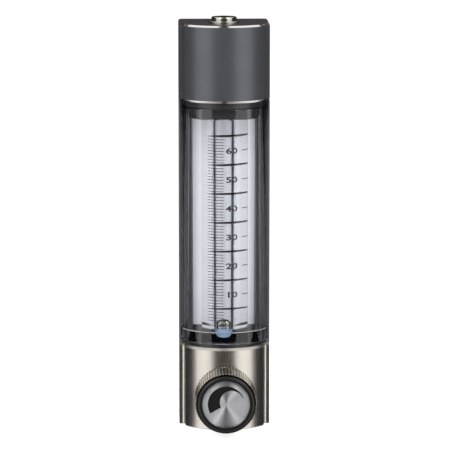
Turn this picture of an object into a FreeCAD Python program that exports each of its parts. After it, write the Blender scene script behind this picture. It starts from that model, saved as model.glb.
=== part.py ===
import FreeCAD, Part
import math
import os

import Sketcher

# A small variable-area flow meter: a glass metering tube between two end blocks, in a channel
# housing with a clear shield, and a needle valve with a fluted knob in the lower block.
# Millimetres. +Z is up and the knob faces -Y. The origin is on the tube's axis, at the foot.

DIMENSIONS = [
    # end blocks
    ("body_width", 31.2),
    ("front_bulge", 0.3),
    ("shoulder_width", 2.0),
    ("cheek_depth", 3.64),
    ("back_depth", 18.0),
    ("lower_height", 28.5),
    ("upper_height", 26.4),
    ("joint_chamfer", 0.8),
    ("deck_chamfer", 0.6),
    ("foot_chamfer", 0.3),
    # ports and passages
    ("port_radius", 4.35),
    ("port_depth", 10.0),
    ("port_countersink", 0.7),
    ("valve_height", 12.5),
    ("outlet_below_deck", 13.2),
    ("passage_radius", 1.5),
    # housing
    ("lip_thickness", 0.5),
    ("ledge_depth", 3.2),
    ("pocket_floor_depth", 8.2),
    ("rail_width_top", 3.3),
    ("rail_width_foot", 4.2),
    ("web_thickness", 3.0),
    ("core_width", 20.0),
    ("core_margin", 8.0),
    ("core_corner", 3.0),
    ("tongue_length", 7.0),
    ("tongue_width", 22.0),
    ("tongue_thickness", 3.0),
    ("screw_spacing", 15.0),
    ("screw_radius", 1.5),
    ("screw_head_radius", 2.8),
    ("screw_length", 9.0),
    ("screw_socket_width", 2.0),
    ("screw_socket_depth", 1.2),
    # back plate
    ("plate_thickness", 1.0),
    ("plate_rise", 3.4),
    # shield
    ("shield_side_gap", 0.15),
    ("shield_wall", 2.0),
    ("rim_step", 0.35),
    ("rim_height", 4.1),
    ("rim_chamfer", 0.25),
    ("lens_thickness", 4.2),
    # collars
    ("neck_setback", 0.6),
    ("lower_collar_thickness", 1.1),
    ("upper_flange_thickness", 1.9),
    ("upper_spigot_length", 4.2),
    ("upper_web_thickness", 0.5),
    # tube
    ("tube_length", 76.2),
    ("tube_radius", 6.35),
    ("tube_foot_chamfer", 2.0),
    ("tube_head_chamfer", 0.6),
    ("bore_foot_radius", 1.675),
    ("bore_head_radius", 1.875),
    ("socket_radius", 2.5),
    ("socket_depth", 4.4),
    ("flare_length", 1.4),
    # float and stops
    ("ball_radius", 1.5875),
    ("stop_height", 4.7),
    ("stop_radius", 1.9),
    ("stop_waist_radius", 1.5),
    ("stop_base_radius", 1.7),
    ("stop_base_height", 0.7),
    ("stop_waist_height", 0.5),
    ("stop_cup_radius", 1.5),
    ("stop_cup_depth", 0.35),
    ("stop_hole_radius", 1.1),
    ("upper_stop_length", 3.5),
    ("upper_stop_hole_radius", 0.9),
    ("stop_slot_width", 0.8),
    ("stop_slot_depth", 1.0),
    # seals
    ("gasket_radius", 4.4),
    ("gasket_thickness", 1.0),
    ("packing_thickness", 1.6),
    ("head_gap", 0.7),
    ("ring_section", 0.5),
    # clamp
    ("clamp_bore_radius", 4.5),
    ("clamp_thread_radius", 4.8),
    ("clamp_thread_depth", 8.2),
    ("spindle_waist_radius", 3.2),
    ("spindle_waist_half_length", 2.4),
    ("spindle_bore_radius", 1.6),
    ("gland_flange_radius", 5.4),
    ("gland_flange_thickness", 0.6),
    ("gland_length", 6.0),
    ("clamp_screw_radius", 3.0),
    ("clamp_head_radius", 4.35),
    ("clamp_head_height", 1.5),
    ("clamp_head_fillet", 0.45),
    ("clamp_socket_width", 4.0),
    ("clamp_socket_depth", 2.5),
    # needle valve
    ("cavity_radius", 4.6),
    ("cavity_end_depth", 4.0),
    ("spotface_radius", 6.9),
    ("spotface_depth", 1.5),
    ("orifice_radius", 1.4),
    ("seat_thickness", 2.0),
    ("seat_hole_radius", 0.75),
    ("bonnet_insert", 8.0),
    ("bonnet_hex_width", 11.0),
    ("bonnet_hex_height", 5.1),
    ("bonnet_hex_chamfer", 0.5),
    ("stem_radius", 2.5),
    ("needle_radius", 1.2),
    ("needle_length", 4.0),
    ("needle_tip_radius", 0.2),
    ("groove_width", 1.2),
    ("groove_depth", 0.8),
    ("stem_groove_reach", 11.0),
    # knob
    ("knob_gap", 1.7),
    ("knob_length", 15.4),
    ("knob_radius", 10.5),
    ("knob_taper", 0.6),
    ("knob_rim_height", 1.5),
    ("knob_wall", 1.9),
    ("knob_recess", 6.4),
    ("knob_hub_radius", 4.4),
    ("knob_hub_setback", 2.6),
    ("knob_web", 0.5),
    ("flute_count", 60.0),
    ("flute_radius", 0.42),
    ("flute_depth", 0.3),
    ("rim_ring_outset", 0.25),
    ("rim_ring_slope", 0.7),
    ("face_radius", 8.2),
    ("face_recess", 0.7),
    ("face_thickness", 0.6),
    ("face_dish_depth", 0.25),
    ("set_screw_radius", 1.5),
    ("set_screw_length", 4.0),
    ("set_screw_reach", 4.4),
    ("set_screw_socket_width", 1.5),
    # fits
    ("fit", 0.1),
    ("thread_fit", 0.02),
    ("running_fit", 0.05),
    ("seat_gap", 0.01),
    ("shield_fit", 0.2),
]

# Places and sizes that follow from the driving dimensions, as (name, expression).
DERIVED = [
    ("half_width", "dims.body_width / 2"),
    ("front_radius", "at.half_width + dims.front_bulge"),
    ("front_half", "at.half_width - dims.shoulder_width"),
    ("arc_reach", "sqrt(at.front_radius ^ 2 - at.front_half ^ 2)"),
    ("shoulder_depth", "at.arc_reach - dims.cheek_depth"),
    ("tube_rise", "dims.lower_collar_thickness + dims.stop_height"),
    ("window_height", "at.tube_rise + dims.tube_length + dims.packing_thickness + dims.head_gap"),
    ("upper_base", "dims.lower_height + at.window_height"),
    ("deck", "at.upper_base + dims.upper_height"),
    ("upper_port", "at.deck - dims.outlet_below_deck"),
    ("lip_half", "at.half_width - dims.lip_thickness"),
    ("pocket_foot_half", "at.half_width - dims.rail_width_foot"),
    ("pocket_top_half", "at.half_width - dims.rail_width_top"),
    ("pocket_draft", "(at.pocket_top_half - at.pocket_foot_half) / at.window_height"),
    ("plate_face", "dims.pocket_floor_depth - dims.plate_thickness"),
    ("tongue_half", "dims.tongue_width / 2"),
    ("tongue_face", "dims.back_depth - dims.tongue_thickness"),
    ("floor", "dims.lower_height + dims.lower_collar_thickness"),
    ("shield_base", "at.floor + dims.shield_fit"),
    ("flange_base", "at.upper_base - dims.upper_flange_thickness"),
    ("spigot_base", "at.flange_base - dims.upper_spigot_length"),
    ("shield_top", "at.flange_base - dims.shield_fit"),
    ("collar_tail", "dims.pocket_floor_depth - dims.fit"),
    ("collar_ledge", "dims.ledge_depth - dims.fit"),
    ("lower_tail_half", "at.pocket_foot_half - dims.fit"),
    ("spigot_rise", "at.spigot_base - dims.lower_height"),
    ("upper_tail_half", "at.pocket_foot_half + at.pocket_draft * at.spigot_rise - dims.fit"),
    ("rim_radius", "at.lip_half - dims.shield_side_gap"),
    ("shield_radius", "at.rim_radius - dims.rim_step"),
    ("shield_bore", "at.shield_radius - dims.shield_wall"),
    ("lens_flat_depth", "at.shield_radius - dims.lens_thickness"),
    ("lens_half_width", "sqrt(at.shield_bore ^ 2 - at.lens_flat_depth ^ 2)"),
    ("neck_radius", "at.shield_radius - dims.neck_setback"),
    ("tube_base", "at.floor + dims.stop_height"),
    ("tube_top", "at.tube_base + dims.tube_length"),
    ("tube_bore_in_collar", "dims.tube_radius + dims.shield_fit"),
    ("stop_seat", "at.tube_base - dims.stop_cup_depth"),
    ("ball_rise", "sqrt(dims.ball_radius ^ 2 - dims.stop_hole_radius ^ 2)"),
    ("ball_centre", "at.stop_seat + at.ball_rise + dims.seat_gap"),
    ("upper_stop_base", "at.tube_top - dims.upper_stop_length"),
    ("packing_top", "at.tube_top + dims.packing_thickness"),
    ("spindle_top", "at.deck - dims.clamp_thread_depth"),
    ("spindle_radius", "dims.clamp_bore_radius - dims.running_fit"),
    ("gland_base", "at.deck + dims.gland_flange_thickness - dims.gland_length"),
    ("gland_top", "at.deck + dims.gland_flange_thickness"),
    ("seat_face", "dims.seat_thickness - dims.cavity_end_depth"),
    ("spotface_reach", "at.front_radius - dims.spotface_depth"),
    ("bonnet_base", "at.spotface_reach - dims.bonnet_insert"),
    ("bonnet_bore", "dims.stem_radius + dims.running_fit"),
    ("needle_slope", "(dims.needle_radius - dims.needle_tip_radius) / dims.needle_length"),
    ("needle_step", "dims.needle_radius - dims.seat_hole_radius + dims.seat_gap"),
    ("stem_base", "at.seat_face + at.needle_step / at.needle_slope"),
    ("knob_reach", "at.front_radius + dims.knob_gap"),
    ("hub_face", "at.knob_reach + dims.knob_hub_setback"),
    ("knob_top", "at.knob_reach + dims.knob_length"),
    ("face_seat", "at.knob_top - dims.face_recess - dims.face_thickness"),
    ("knob_bore_end", "at.face_seat - dims.knob_web"),
    ("stem_top", "at.knob_bore_end - dims.fit"),
    ("knob_shoulder", "at.knob_top - dims.knob_rim_height"),
    ("knob_front_radius", "dims.knob_radius - dims.knob_taper"),
    ("knob_recess_radius", "dims.knob_radius - dims.knob_wall"),
    ("rim_ring_radius", "at.knob_front_radius - dims.rim_ring_outset"),
    ("set_screw_axis", "at.knob_reach + dims.knob_recess + dims.set_screw_radius + dims.fit * 5"),
]

UPRIGHT = FreeCAD.Rotation()
FORWARD = FreeCAD.Rotation(FreeCAD.Vector(1, 0, 0), 90)
ARC = "arc"
POINT = {name: number for number, name in enumerate(("start", "end", "centre"), start=1)}

doc = FreeCAD.newDocument("flow_meter")
sheet = doc.addObject("Spreadsheet::Sheet", "dims")
for row, (name, number) in enumerate(DIMENSIONS, start=1):
    sheet.set(f"A{row}", str(number))
    sheet.setAlias(f"A{row}", name)
doc.recompute()

at = doc.addObject("App::VarSet", "at")
for name, expression in DERIVED:
    at.addProperty("App::PropertyFloat", name, "Derived")
    at.setExpression(name, expression)
doc.recompute()

parts = []


def value(expression):
    """Return the number that an expression on the sheet and the derived values gives."""
    return float(at.evalExpression(expression))


def bind(target, **expressions):
    """Bind properties of an object to expressions."""
    for prop, expression in expressions.items():
        target.setExpression(prop, expression)


def move(target, x="0", y="0", z="0", rotation=UPRIGHT):
    """Turn an object and bind its place to expressions."""
    target.Placement = FreeCAD.Placement(FreeCAD.Vector(), rotation)
    for axis, expression in (("x", x), ("y", y), ("z", z)):
        target.setExpression(f"Placement.Base.{axis}", expression)


def new_body(label, **place):
    """Start a PartDesign body that becomes one node."""
    body = doc.addObject("PartDesign::Body", label)
    body.Label = label
    move(body, **place)
    parts.append(body)
    return body


def origin_feature(body, role):
    """Return one of the body's own origin planes or axes."""
    return next(item for item in body.Origin.OriginFeatures if item.Role == role)


def new_sketch(body, role):
    """Add a sketch on one of the body's origin planes."""
    sketch = body.newObject("Sketcher::SketchObject", f"{body.Name}_outline")
    sketch.AttachmentSupport = (origin_feature(body, role), [""])
    sketch.MapMode = "FlatFace"
    return sketch


def draw(sketch, corners):
    """Draw a closed outline through corners given as (x, y) or (x, y, ARC) expressions.

    ARC starts an arc about the sketch's origin that runs to the next corner, on the far side of
    the X axis from +Y.
    """
    points = [(value(corner[0]), value(corner[1])) for corner in corners]
    followers = points[1:] + points[:1]
    for corner, start, end in zip(corners, points, followers):
        first, last = FreeCAD.Vector(*start, 0), FreeCAD.Vector(*end, 0)
        if ARC in corner:
            left, right = sorted((start, end))
            sketch.addGeometry(arc_below(left, right), False)
        else:
            sketch.addGeometry(Part.LineSegment(first, last), False)
    ends = [edge_ends(edge, start) for edge, start in zip(sketch.Geometry, points)]
    for index, corner in enumerate(corners):
        previous = index - 1 if index else len(corners) - 1
        joint = (previous, ends[previous][1], index, ends[index][0])
        sketch.addConstraint(Sketcher.Constraint("Coincident", *joint))
        if ARC in corner:
            centre = (index, POINT["centre"], -1, POINT["start"])
            sketch.addConstraint(Sketcher.Constraint("Coincident", *centre))
        after_arc = ARC in corners[previous]
        place_point(sketch, (index, ends[index][0]), corner, points[index], after_arc)
    return sketch


def arc_below(left, right):
    """Return the arc about the origin that passes below it from a left to a right point."""
    first = math.atan2(left[1], left[0])
    last = math.atan2(right[1], right[0])
    middle = first + (last - first) % (2 * math.pi) / 2
    radius = math.hypot(*left)
    lowest = FreeCAD.Vector(radius * math.cos(middle), radius * math.sin(middle), 0)
    return Part.Arc(FreeCAD.Vector(*left, 0), lowest, FreeCAD.Vector(*right, 0))


def edge_ends(edge, start):
    """Return which ends of an edge, as Sketcher numbers them, are its first and last corner."""
    near = edge.StartPoint.distanceToPoint(FreeCAD.Vector(*start, 0)) < 1e-6
    ends = (POINT["start"], POINT["end"])
    return ends if near else ends[::-1]


def place_point(sketch, vertex, corner, point, after_arc):
    """Constrain a sketch point to its expressions, or to the one that an arc leaves free."""
    across = ("DistanceX", corner[0], point[0], -2)
    along = ("DistanceY", corner[1], point[1], -1)
    rules = [across, along]
    if after_arc:
        rules = [across] if abs(point[1]) > abs(point[0]) else [along]
    for kind, expression, number, axis in rules:
        if abs(number) < 1e-9:
            sketch.addConstraint(Sketcher.Constraint("PointOnObject", *vertex, axis))
            continue
        index = sketch.addConstraint(Sketcher.Constraint(kind, -1, POINT["start"], *vertex, number))
        sketch.setExpression(f"Constraints[{index}]", expression)


def revolved(label, corners, **place):
    """Turn an outline of (radius, height) corners about the body's own Z axis."""
    body = new_body(label, **place)
    sketch = draw(new_sketch(body, "XZ_Plane"), corners)
    turning = body.newObject("PartDesign::Revolution", f"{label}_turning")
    turning.Profile = sketch
    turning.ReferenceAxis = (sketch, ["V_Axis"])
    turning.Angle = 360
    return body


def pad(body, corners, length, base="0"):
    """Extrude an outline in the XY plane upwards from a height."""
    sketch = draw(new_sketch(body, "XY_Plane"), corners)
    sketch.setExpression("AttachmentOffset.Base.z", base)
    block = body.newObject("PartDesign::Pad", f"{body.Name}_pad")
    block.Profile = sketch
    bind(block, Length=length)
    return block


def cylinder(body, radius, height, cut=True, rotation=UPRIGHT, **place):
    """Add or cut a cylinder in a body."""
    kind = "SubtractiveCylinder" if cut else "AdditiveCylinder"
    tool = body.newObject(f"PartDesign::{kind}", f"{body.Name}_cylinder")
    bind(tool, Radius=radius, Height=height)
    move(tool, rotation=rotation, **place)
    return tool


def cone_cut(body, radius, end_radius, height, rotation=UPRIGHT, **place):
    """Cut a cone from a body, from its wide end."""
    tool = body.newObject("PartDesign::SubtractiveCone", f"{body.Name}_cone")
    bind(tool, Radius1=radius, Radius2=end_radius, Height=height)
    move(tool, rotation=rotation, **place)
    return tool


def box(body, size, corner, cut=True):
    """Add or cut a box, given its size and its lowest corner as expressions."""
    kind = "SubtractiveBox" if cut else "AdditiveBox"
    tool = body.newObject(f"PartDesign::{kind}", f"{body.Name}_box")
    bind(tool, Length=size[0], Width=size[1], Height=size[2])
    move(tool, x=corner[0], y=corner[1], z=corner[2])
    return tool


def hexagon(body, width, height, cut=True, **place):
    """Add or cut a hexagonal prism of a given width across its flats."""
    kind = "SubtractivePrism" if cut else "AdditivePrism"
    tool = body.newObject(f"PartDesign::{kind}", f"{body.Name}_hexagon")
    tool.Polygon = 6
    bind(tool, Circumradius=f"{width} / sqrt(3)", Height=height)
    move(tool, **place)
    return tool


def rounded_edges(body, kind, size, chosen):
    """Chamfer or fillet the edges of a body's last feature that a test chooses."""
    doc.recompute()
    base = body.Tip
    names = [f"Edge{index}" for index, edge in enumerate(base.Shape.Edges, start=1) if chosen(edge)]
    dressing = body.newObject(f"PartDesign::{kind}", f"{body.Name}_{kind.lower()}")
    dressing.Base = (base, names)
    bind(dressing, **{"Size" if kind == "Chamfer" else "Radius": size})
    return dressing


def level_edges(height, least_reach=0.0):
    """Return a test for level edges at a height that reach out past a radius."""
    def test(edge):
        box_of_edge = edge.BoundBox
        level = abs(box_of_edge.ZMin - height) < 1e-6 and abs(box_of_edge.ZMax - height) < 1e-6
        reach = max(vertex.Point.x ** 2 + vertex.Point.y ** 2 for vertex in edge.Vertexes)
        return level and reach > least_reach ** 2
    return test


def block_outline():
    """Return the section of an end block: a flat back, shoulders and a round front."""
    return [
        ("at.half_width", "dims.back_depth"),
        ("-at.half_width", "dims.back_depth"),
        ("-at.half_width", "-at.shoulder_depth"),
        ("-at.front_half", "-at.shoulder_depth"),
        ("-at.front_half", "-at.arc_reach", ARC),
        ("at.front_half", "-at.arc_reach"),
        ("at.front_half", "-at.shoulder_depth"),
        ("at.half_width", "-at.shoulder_depth"),
    ]


def rear_port(body, height):
    """Cut a tapped port with a countersunk mouth in a block's back."""
    mouth = "dims.back_depth"
    cylinder(body, "dims.port_radius", "dims.port_depth", rotation=FORWARD, y=mouth, z=height)
    wide = "dims.port_radius + dims.port_countersink"
    cone_cut(body, wide, "dims.port_radius", "dims.port_countersink", rotation=FORWARD, y=mouth, z=height)


def tongue_seat(body, base, height, screw_height):
    """Cut the rebate in a block's back for the housing's tongue, and its two tapped holes."""
    half = "at.tongue_half + dims.fit"
    box(
        body,
        (f"2 * ({half})", "dims.tongue_thickness", height),
        (f"-({half})", "at.tongue_face", base),
    )
    depth = "dims.screw_length - dims.tongue_thickness + 1"
    for side in ("-1", "1"):
        where = {"x": f"{side} * dims.screw_spacing / 2", "y": "at.tongue_face", "z": screw_height}
        cylinder(body, "dims.screw_radius", depth, rotation=FORWARD, **where)


def make_lower_block():
    """Make the stainless end block with the valve cavity, inlet port and riser."""
    body = new_body("lower_block")
    pad(body, block_outline(), "dims.lower_height")
    rounded_edges(body, "Chamfer", "dims.joint_chamfer", level_edges(value("dims.lower_height")))
    rounded_edges(body, "Chamfer", "dims.foot_chamfer", level_edges(0.0))
    tongue_seat(
        body,
        "dims.lower_height - dims.tongue_length - dims.fit",
        "dims.tongue_length + dims.fit",
        "dims.lower_height - dims.tongue_length / 2",
    )
    rear_port(body, "dims.valve_height")
    reach = "dims.back_depth - dims.port_depth"
    cylinder(body, "dims.orifice_radius", f"{reach} + 1", rotation=FORWARD, y=reach, z="dims.valve_height")
    cavity = "dims.cavity_end_depth + at.front_radius"
    cavity_place = {"y": "dims.cavity_end_depth", "z": "dims.valve_height"}
    cylinder(body, "dims.cavity_radius", cavity, rotation=FORWARD, **cavity_place)
    spot_place = {"y": "-at.spotface_reach", "z": "dims.valve_height"}
    cylinder(body, "dims.spotface_radius", "at.front_radius", rotation=FORWARD, **spot_place)
    riser = "dims.lower_height - dims.valve_height"
    cylinder(body, "dims.passage_radius", riser, z="dims.valve_height")
    recess_place = {"z": "dims.lower_height - dims.gasket_thickness"}
    cylinder(body, "dims.gasket_radius + dims.fit", "dims.gasket_thickness", **recess_place)
    return body


def make_upper_block():
    """Make the charcoal end block with the outlet port and the clamp bore."""
    body = new_body("upper_block", z="at.upper_base")
    pad(body, block_outline(), "dims.upper_height")
    rounded_edges(body, "Chamfer", "dims.deck_chamfer", level_edges(value("dims.upper_height")))
    rounded_edges(body, "Chamfer", "dims.joint_chamfer", level_edges(0.0))
    tongue_seat(body, "0", "dims.tongue_length + dims.fit", "dims.tongue_length / 2")
    rear_port(body, "dims.upper_height - dims.outlet_below_deck")
    reach = "dims.back_depth - dims.port_depth"
    passage_place = {"y": reach, "z": "dims.upper_height - dims.outlet_below_deck"}
    cylinder(body, "dims.passage_radius", reach, rotation=FORWARD, **passage_place)
    cylinder(body, "dims.clamp_bore_radius", "dims.upper_height")
    thread_place = {"z": "dims.upper_height - dims.clamp_thread_depth"}
    cylinder(body, "dims.clamp_thread_radius", "dims.clamp_thread_depth", **thread_place)
    return body


def make_rear_housing():
    """Make the cast channel: drafted front pocket, cored back, side lips and end tongues."""
    body = new_body("rear_housing", z="dims.lower_height")
    section = [
        ("at.half_width", "dims.back_depth"),
        ("-at.half_width", "dims.back_depth"),
        ("-at.half_width", "-at.shoulder_depth"),
        ("-at.lip_half", "-at.shoulder_depth"),
        ("-at.lip_half", "dims.ledge_depth"),
        ("at.lip_half", "dims.ledge_depth"),
        ("at.lip_half", "-at.shoulder_depth"),
        ("at.half_width", "-at.shoulder_depth"),
    ]
    pad(body, section, "at.window_height")
    tongue_size = (
        "dims.tongue_width",
        "dims.tongue_thickness",
        "at.window_height + 2 * dims.tongue_length",
    )
    box(body, tongue_size, ("-at.tongue_half", "at.tongue_face", "-dims.tongue_length"), cut=False)
    pocket = body.newObject("PartDesign::SubtractiveWedge", "housing_pocket")
    bind(
        pocket,
        Xmin="-at.pocket_foot_half",
        Xmax="at.pocket_foot_half",
        X2min="-at.pocket_top_half",
        X2max="at.pocket_top_half",
        Ymin="0",
        Ymax="at.window_height",
        Zmin="-dims.pocket_floor_depth",
        Zmax="at.shoulder_depth",
        Z2min="-dims.pocket_floor_depth",
        Z2max="at.shoulder_depth",
    )
    move(pocket, rotation=FORWARD)
    core_face = "dims.pocket_floor_depth + dims.web_thickness"
    core_sketch = draw(
        new_sketch(body, "XZ_Plane"),
        [
            ("dims.core_width / 2", "dims.core_margin"),
            ("dims.core_width / 2", "at.window_height - dims.core_margin"),
            ("-dims.core_width / 2", "at.window_height - dims.core_margin"),
            ("-dims.core_width / 2", "dims.core_margin"),
        ],
    )
    core_sketch.setExpression("AttachmentOffset.Base.z", f"-({core_face})")
    core = body.newObject("PartDesign::Pocket", "housing_core")
    core.Profile = core_sketch
    core.Reversed = False
    bind(core, Length=f"dims.back_depth - ({core_face})")
    inner = value(core_face)

    def core_corner(edge):
        """Choose the four depth-wise edges of the coring."""
        span = edge.BoundBox
        upright = span.XLength < 1e-6 and span.ZLength < 1e-6
        inside = abs(span.YMin - inner) < 1e-6 and abs(abs(span.XMin) - value("dims.core_width / 2")) < 1e-6
        return upright and inside

    rounded_edges(body, "Fillet", "dims.core_corner", core_corner)
    for height in ("-dims.tongue_length / 2", "at.window_height + dims.tongue_length / 2"):
        for side in ("-1", "1"):
            where = {"x": f"{side} * dims.screw_spacing / 2", "y": "dims.back_depth", "z": height}
            cylinder(
                body,
                "dims.screw_radius + dims.fit",
                "dims.tongue_thickness",
                rotation=FORWARD,
                **where,
            )
            sink = "dims.screw_head_radius - dims.screw_radius"
            wide = "dims.screw_head_radius + dims.fit"
            narrow = "dims.screw_radius + dims.fit"
            cone_cut(body, wide, narrow, sink, rotation=FORWARD, **where)
    return body


def make_back_plate():
    """Make the white plate, a trapezium that follows the pocket's draft."""
    body = new_body("back_plate")
    low, high = "at.floor + dims.plate_rise", "at.spigot_base - dims.fit"
    low_half = f"at.pocket_foot_half + at.pocket_draft * ({low} - dims.lower_height) - dims.fit"
    high_half = f"at.pocket_foot_half + at.pocket_draft * ({high} - dims.lower_height) - dims.fit"
    outline = [(low_half, low), (high_half, high), (f"-({high_half})", high), (f"-({low_half})", low)]
    sketch = draw(new_sketch(body, "XZ_Plane"), outline)
    sketch.setExpression("AttachmentOffset.Base.z", "-dims.pocket_floor_depth")
    sheet_pad = body.newObject("PartDesign::Pad", "back_plate_pad")
    sheet_pad.Profile = sketch
    bind(sheet_pad, Length="dims.plate_thickness")
    return body


def shield_outline(outer):
    """Return the shield's section: round outside, with a flat that makes a lens inside."""
    foot = "at.collar_ledge"
    return [
        (f"-{outer}", "0", ARC),
        (outer, "0"),
        (outer, foot),
        ("at.shield_bore", foot),
        ("at.shield_bore", "0", ARC),
        ("at.lens_half_width", "-at.lens_flat_depth"),
        ("-at.lens_half_width", "-at.lens_flat_depth", ARC),
        ("-at.shield_bore", "0"),
        ("-at.shield_bore", foot),
        (f"-{outer}", foot),
    ]


def make_front_shield():
    """Make the clear moulded cover with its stepped rim."""
    body = new_body("front_shield", z="at.shield_base")
    pad(body, shield_outline("at.rim_radius"), "dims.rim_height")
    rim_top = level_edges(value("dims.rim_height"), value("at.shield_radius"))

    def rim_edge(edge):
        """Choose the curved outer edge on top of the rim."""
        return rim_top(edge) and edge.Curve.TypeId == "Part::GeomCircle"

    rounded_edges(body, "Chamfer", "dims.rim_chamfer", rim_edge)
    pad(body, shield_outline("at.shield_radius"), "at.shield_top - at.shield_base")
    return body


def collar_outline(radius, tail_half):
    """Return a collar's section: a round front and a tail between the housing's walls."""
    ledge_half = f"sqrt({radius} ^ 2 - at.collar_ledge ^ 2)"
    return [
        (f"-({ledge_half})", "at.collar_ledge", ARC),
        (ledge_half, "at.collar_ledge"),
        (tail_half, "at.collar_ledge"),
        (tail_half, "at.collar_tail"),
        (f"-{tail_half}", "at.collar_tail"),
        (f"-{tail_half}", "at.collar_ledge"),
    ]


def spigot_outline(radius, flat, tail_half):
    """Return the upper spigot's section, which follows the inside of the shield."""
    flat_half = f"sqrt(({radius}) ^ 2 - ({flat}) ^ 2)"
    return [
        (f"-({radius})", "0", ARC),
        (f"-({flat_half})", f"-({flat})"),
        (flat_half, f"-({flat})", ARC),
        (radius, "0"),
        (radius, "at.collar_ledge"),
        (tail_half, "at.collar_ledge"),
        (tail_half, "at.collar_tail"),
        (f"-{tail_half}", "at.collar_tail"),
        (f"-{tail_half}", "at.collar_ledge"),
        (f"-({radius})", "at.collar_ledge"),
    ]


def make_lower_collar():
    """Make the dark disc between the lower block and the shield."""
    body = new_body("lower_collar", z="dims.lower_height")
    pad(body, collar_outline("at.neck_radius", "at.lower_tail_half"), "dims.lower_collar_thickness")
    cylinder(body, "dims.stop_hole_radius", "dims.lower_collar_thickness")
    return body


def make_upper_collar():
    """Make the dark ring whose spigot centres the shield and the head of the tube."""
    body = new_body("upper_collar", z="at.spigot_base")
    radius = "at.shield_bore - dims.shield_fit"
    flat = "at.lens_flat_depth - dims.shield_fit"
    spigot = spigot_outline(radius, flat, "at.upper_tail_half")
    pad(body, spigot, "dims.upper_spigot_length")
    flange = collar_outline("at.neck_radius", "at.upper_tail_half")
    pad(body, flange, "dims.upper_flange_thickness", base="dims.upper_spigot_length")
    height = "dims.upper_spigot_length + dims.upper_flange_thickness"
    cylinder(body, "dims.clamp_bore_radius + dims.fit", height)
    cylinder(body, "at.tube_bore_in_collar", f"{height} - dims.upper_web_thickness")
    return body


def make_metering_tube():
    """Make the glass tube: tapered bore, bevelled foot and a flared socket for the upper stop."""
    socket_floor = "dims.tube_length - dims.socket_depth"
    return revolved(
        "metering_tube",
        [
            ("dims.bore_foot_radius", "0"),
            ("dims.tube_radius - dims.tube_foot_chamfer", "0"),
            ("dims.tube_radius", "dims.tube_foot_chamfer"),
            ("dims.tube_radius", "dims.tube_length - dims.tube_head_chamfer"),
            ("dims.tube_radius - dims.tube_head_chamfer", "dims.tube_length"),
            ("dims.socket_radius", "dims.tube_length"),
            ("dims.socket_radius", socket_floor),
            ("dims.bore_head_radius", f"{socket_floor} - dims.flare_length"),
        ],
        z="at.tube_base",
    )


def make_float_ball():
    """Make the ball float at rest on its lower stop."""
    ball = doc.addObject("Part::Sphere", "float_ball")
    ball.Label = "float_ball"
    bind(ball, Radius="dims.ball_radius")
    move(ball, z="at.ball_centre")
    parts.append(ball)
    return ball


def make_lower_float_stop():
    """Make the pale blue seat that carries the tube and catches the ball."""
    body = revolved(
        "lower_float_stop",
        [
            ("dims.stop_hole_radius", "0"),
            ("dims.stop_base_radius", "0"),
            ("dims.stop_base_radius", "dims.stop_base_height"),
            ("dims.stop_waist_radius", "dims.stop_base_height"),
            ("dims.stop_waist_radius", "dims.stop_base_height + dims.stop_waist_height"),
            ("dims.stop_radius", "dims.stop_base_height + dims.stop_waist_height"),
            ("dims.stop_radius", "dims.stop_height"),
            ("dims.stop_cup_radius", "dims.stop_height"),
            ("dims.stop_cup_radius", "dims.stop_height - dims.stop_cup_depth"),
            ("dims.stop_hole_radius", "dims.stop_height - dims.stop_cup_depth"),
        ],
        z="at.floor",
    )
    return body


def make_upper_float_stop():
    """Make the stop in the tube's socket, slotted so that the ball never seals it."""
    radius = "dims.socket_radius - dims.thread_fit"
    body = revolved(
        "upper_float_stop",
        [
            ("dims.upper_stop_hole_radius", "0"),
            (radius, "0"),
            (radius, "dims.upper_stop_length"),
            ("dims.upper_stop_hole_radius", "dims.upper_stop_length"),
        ],
        z="at.upper_stop_base",
    )
    slot = ("2 * dims.socket_radius", "dims.stop_slot_width", "dims.stop_slot_depth")
    box(body, slot, ("-dims.socket_radius", "-dims.stop_slot_width / 2", "0"))
    return body


def make_flat_ring(label, inner, outer, thickness, **place):
    """Make a flat washer-shaped seal."""
    corners = [(inner, "0"), (outer, "0"), (outer, thickness), (inner, thickness)]
    return revolved(label, corners, **place)


def make_o_ring(label, centre_radius, section, rotation=UPRIGHT, **place):
    """Make a round-section ring."""
    ring = doc.addObject("Part::Torus", label)
    ring.Label = label
    bind(ring, Radius1=centre_radius, Radius2=section)
    move(ring, rotation=rotation, **place)
    parts.append(ring)
    return ring


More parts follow.
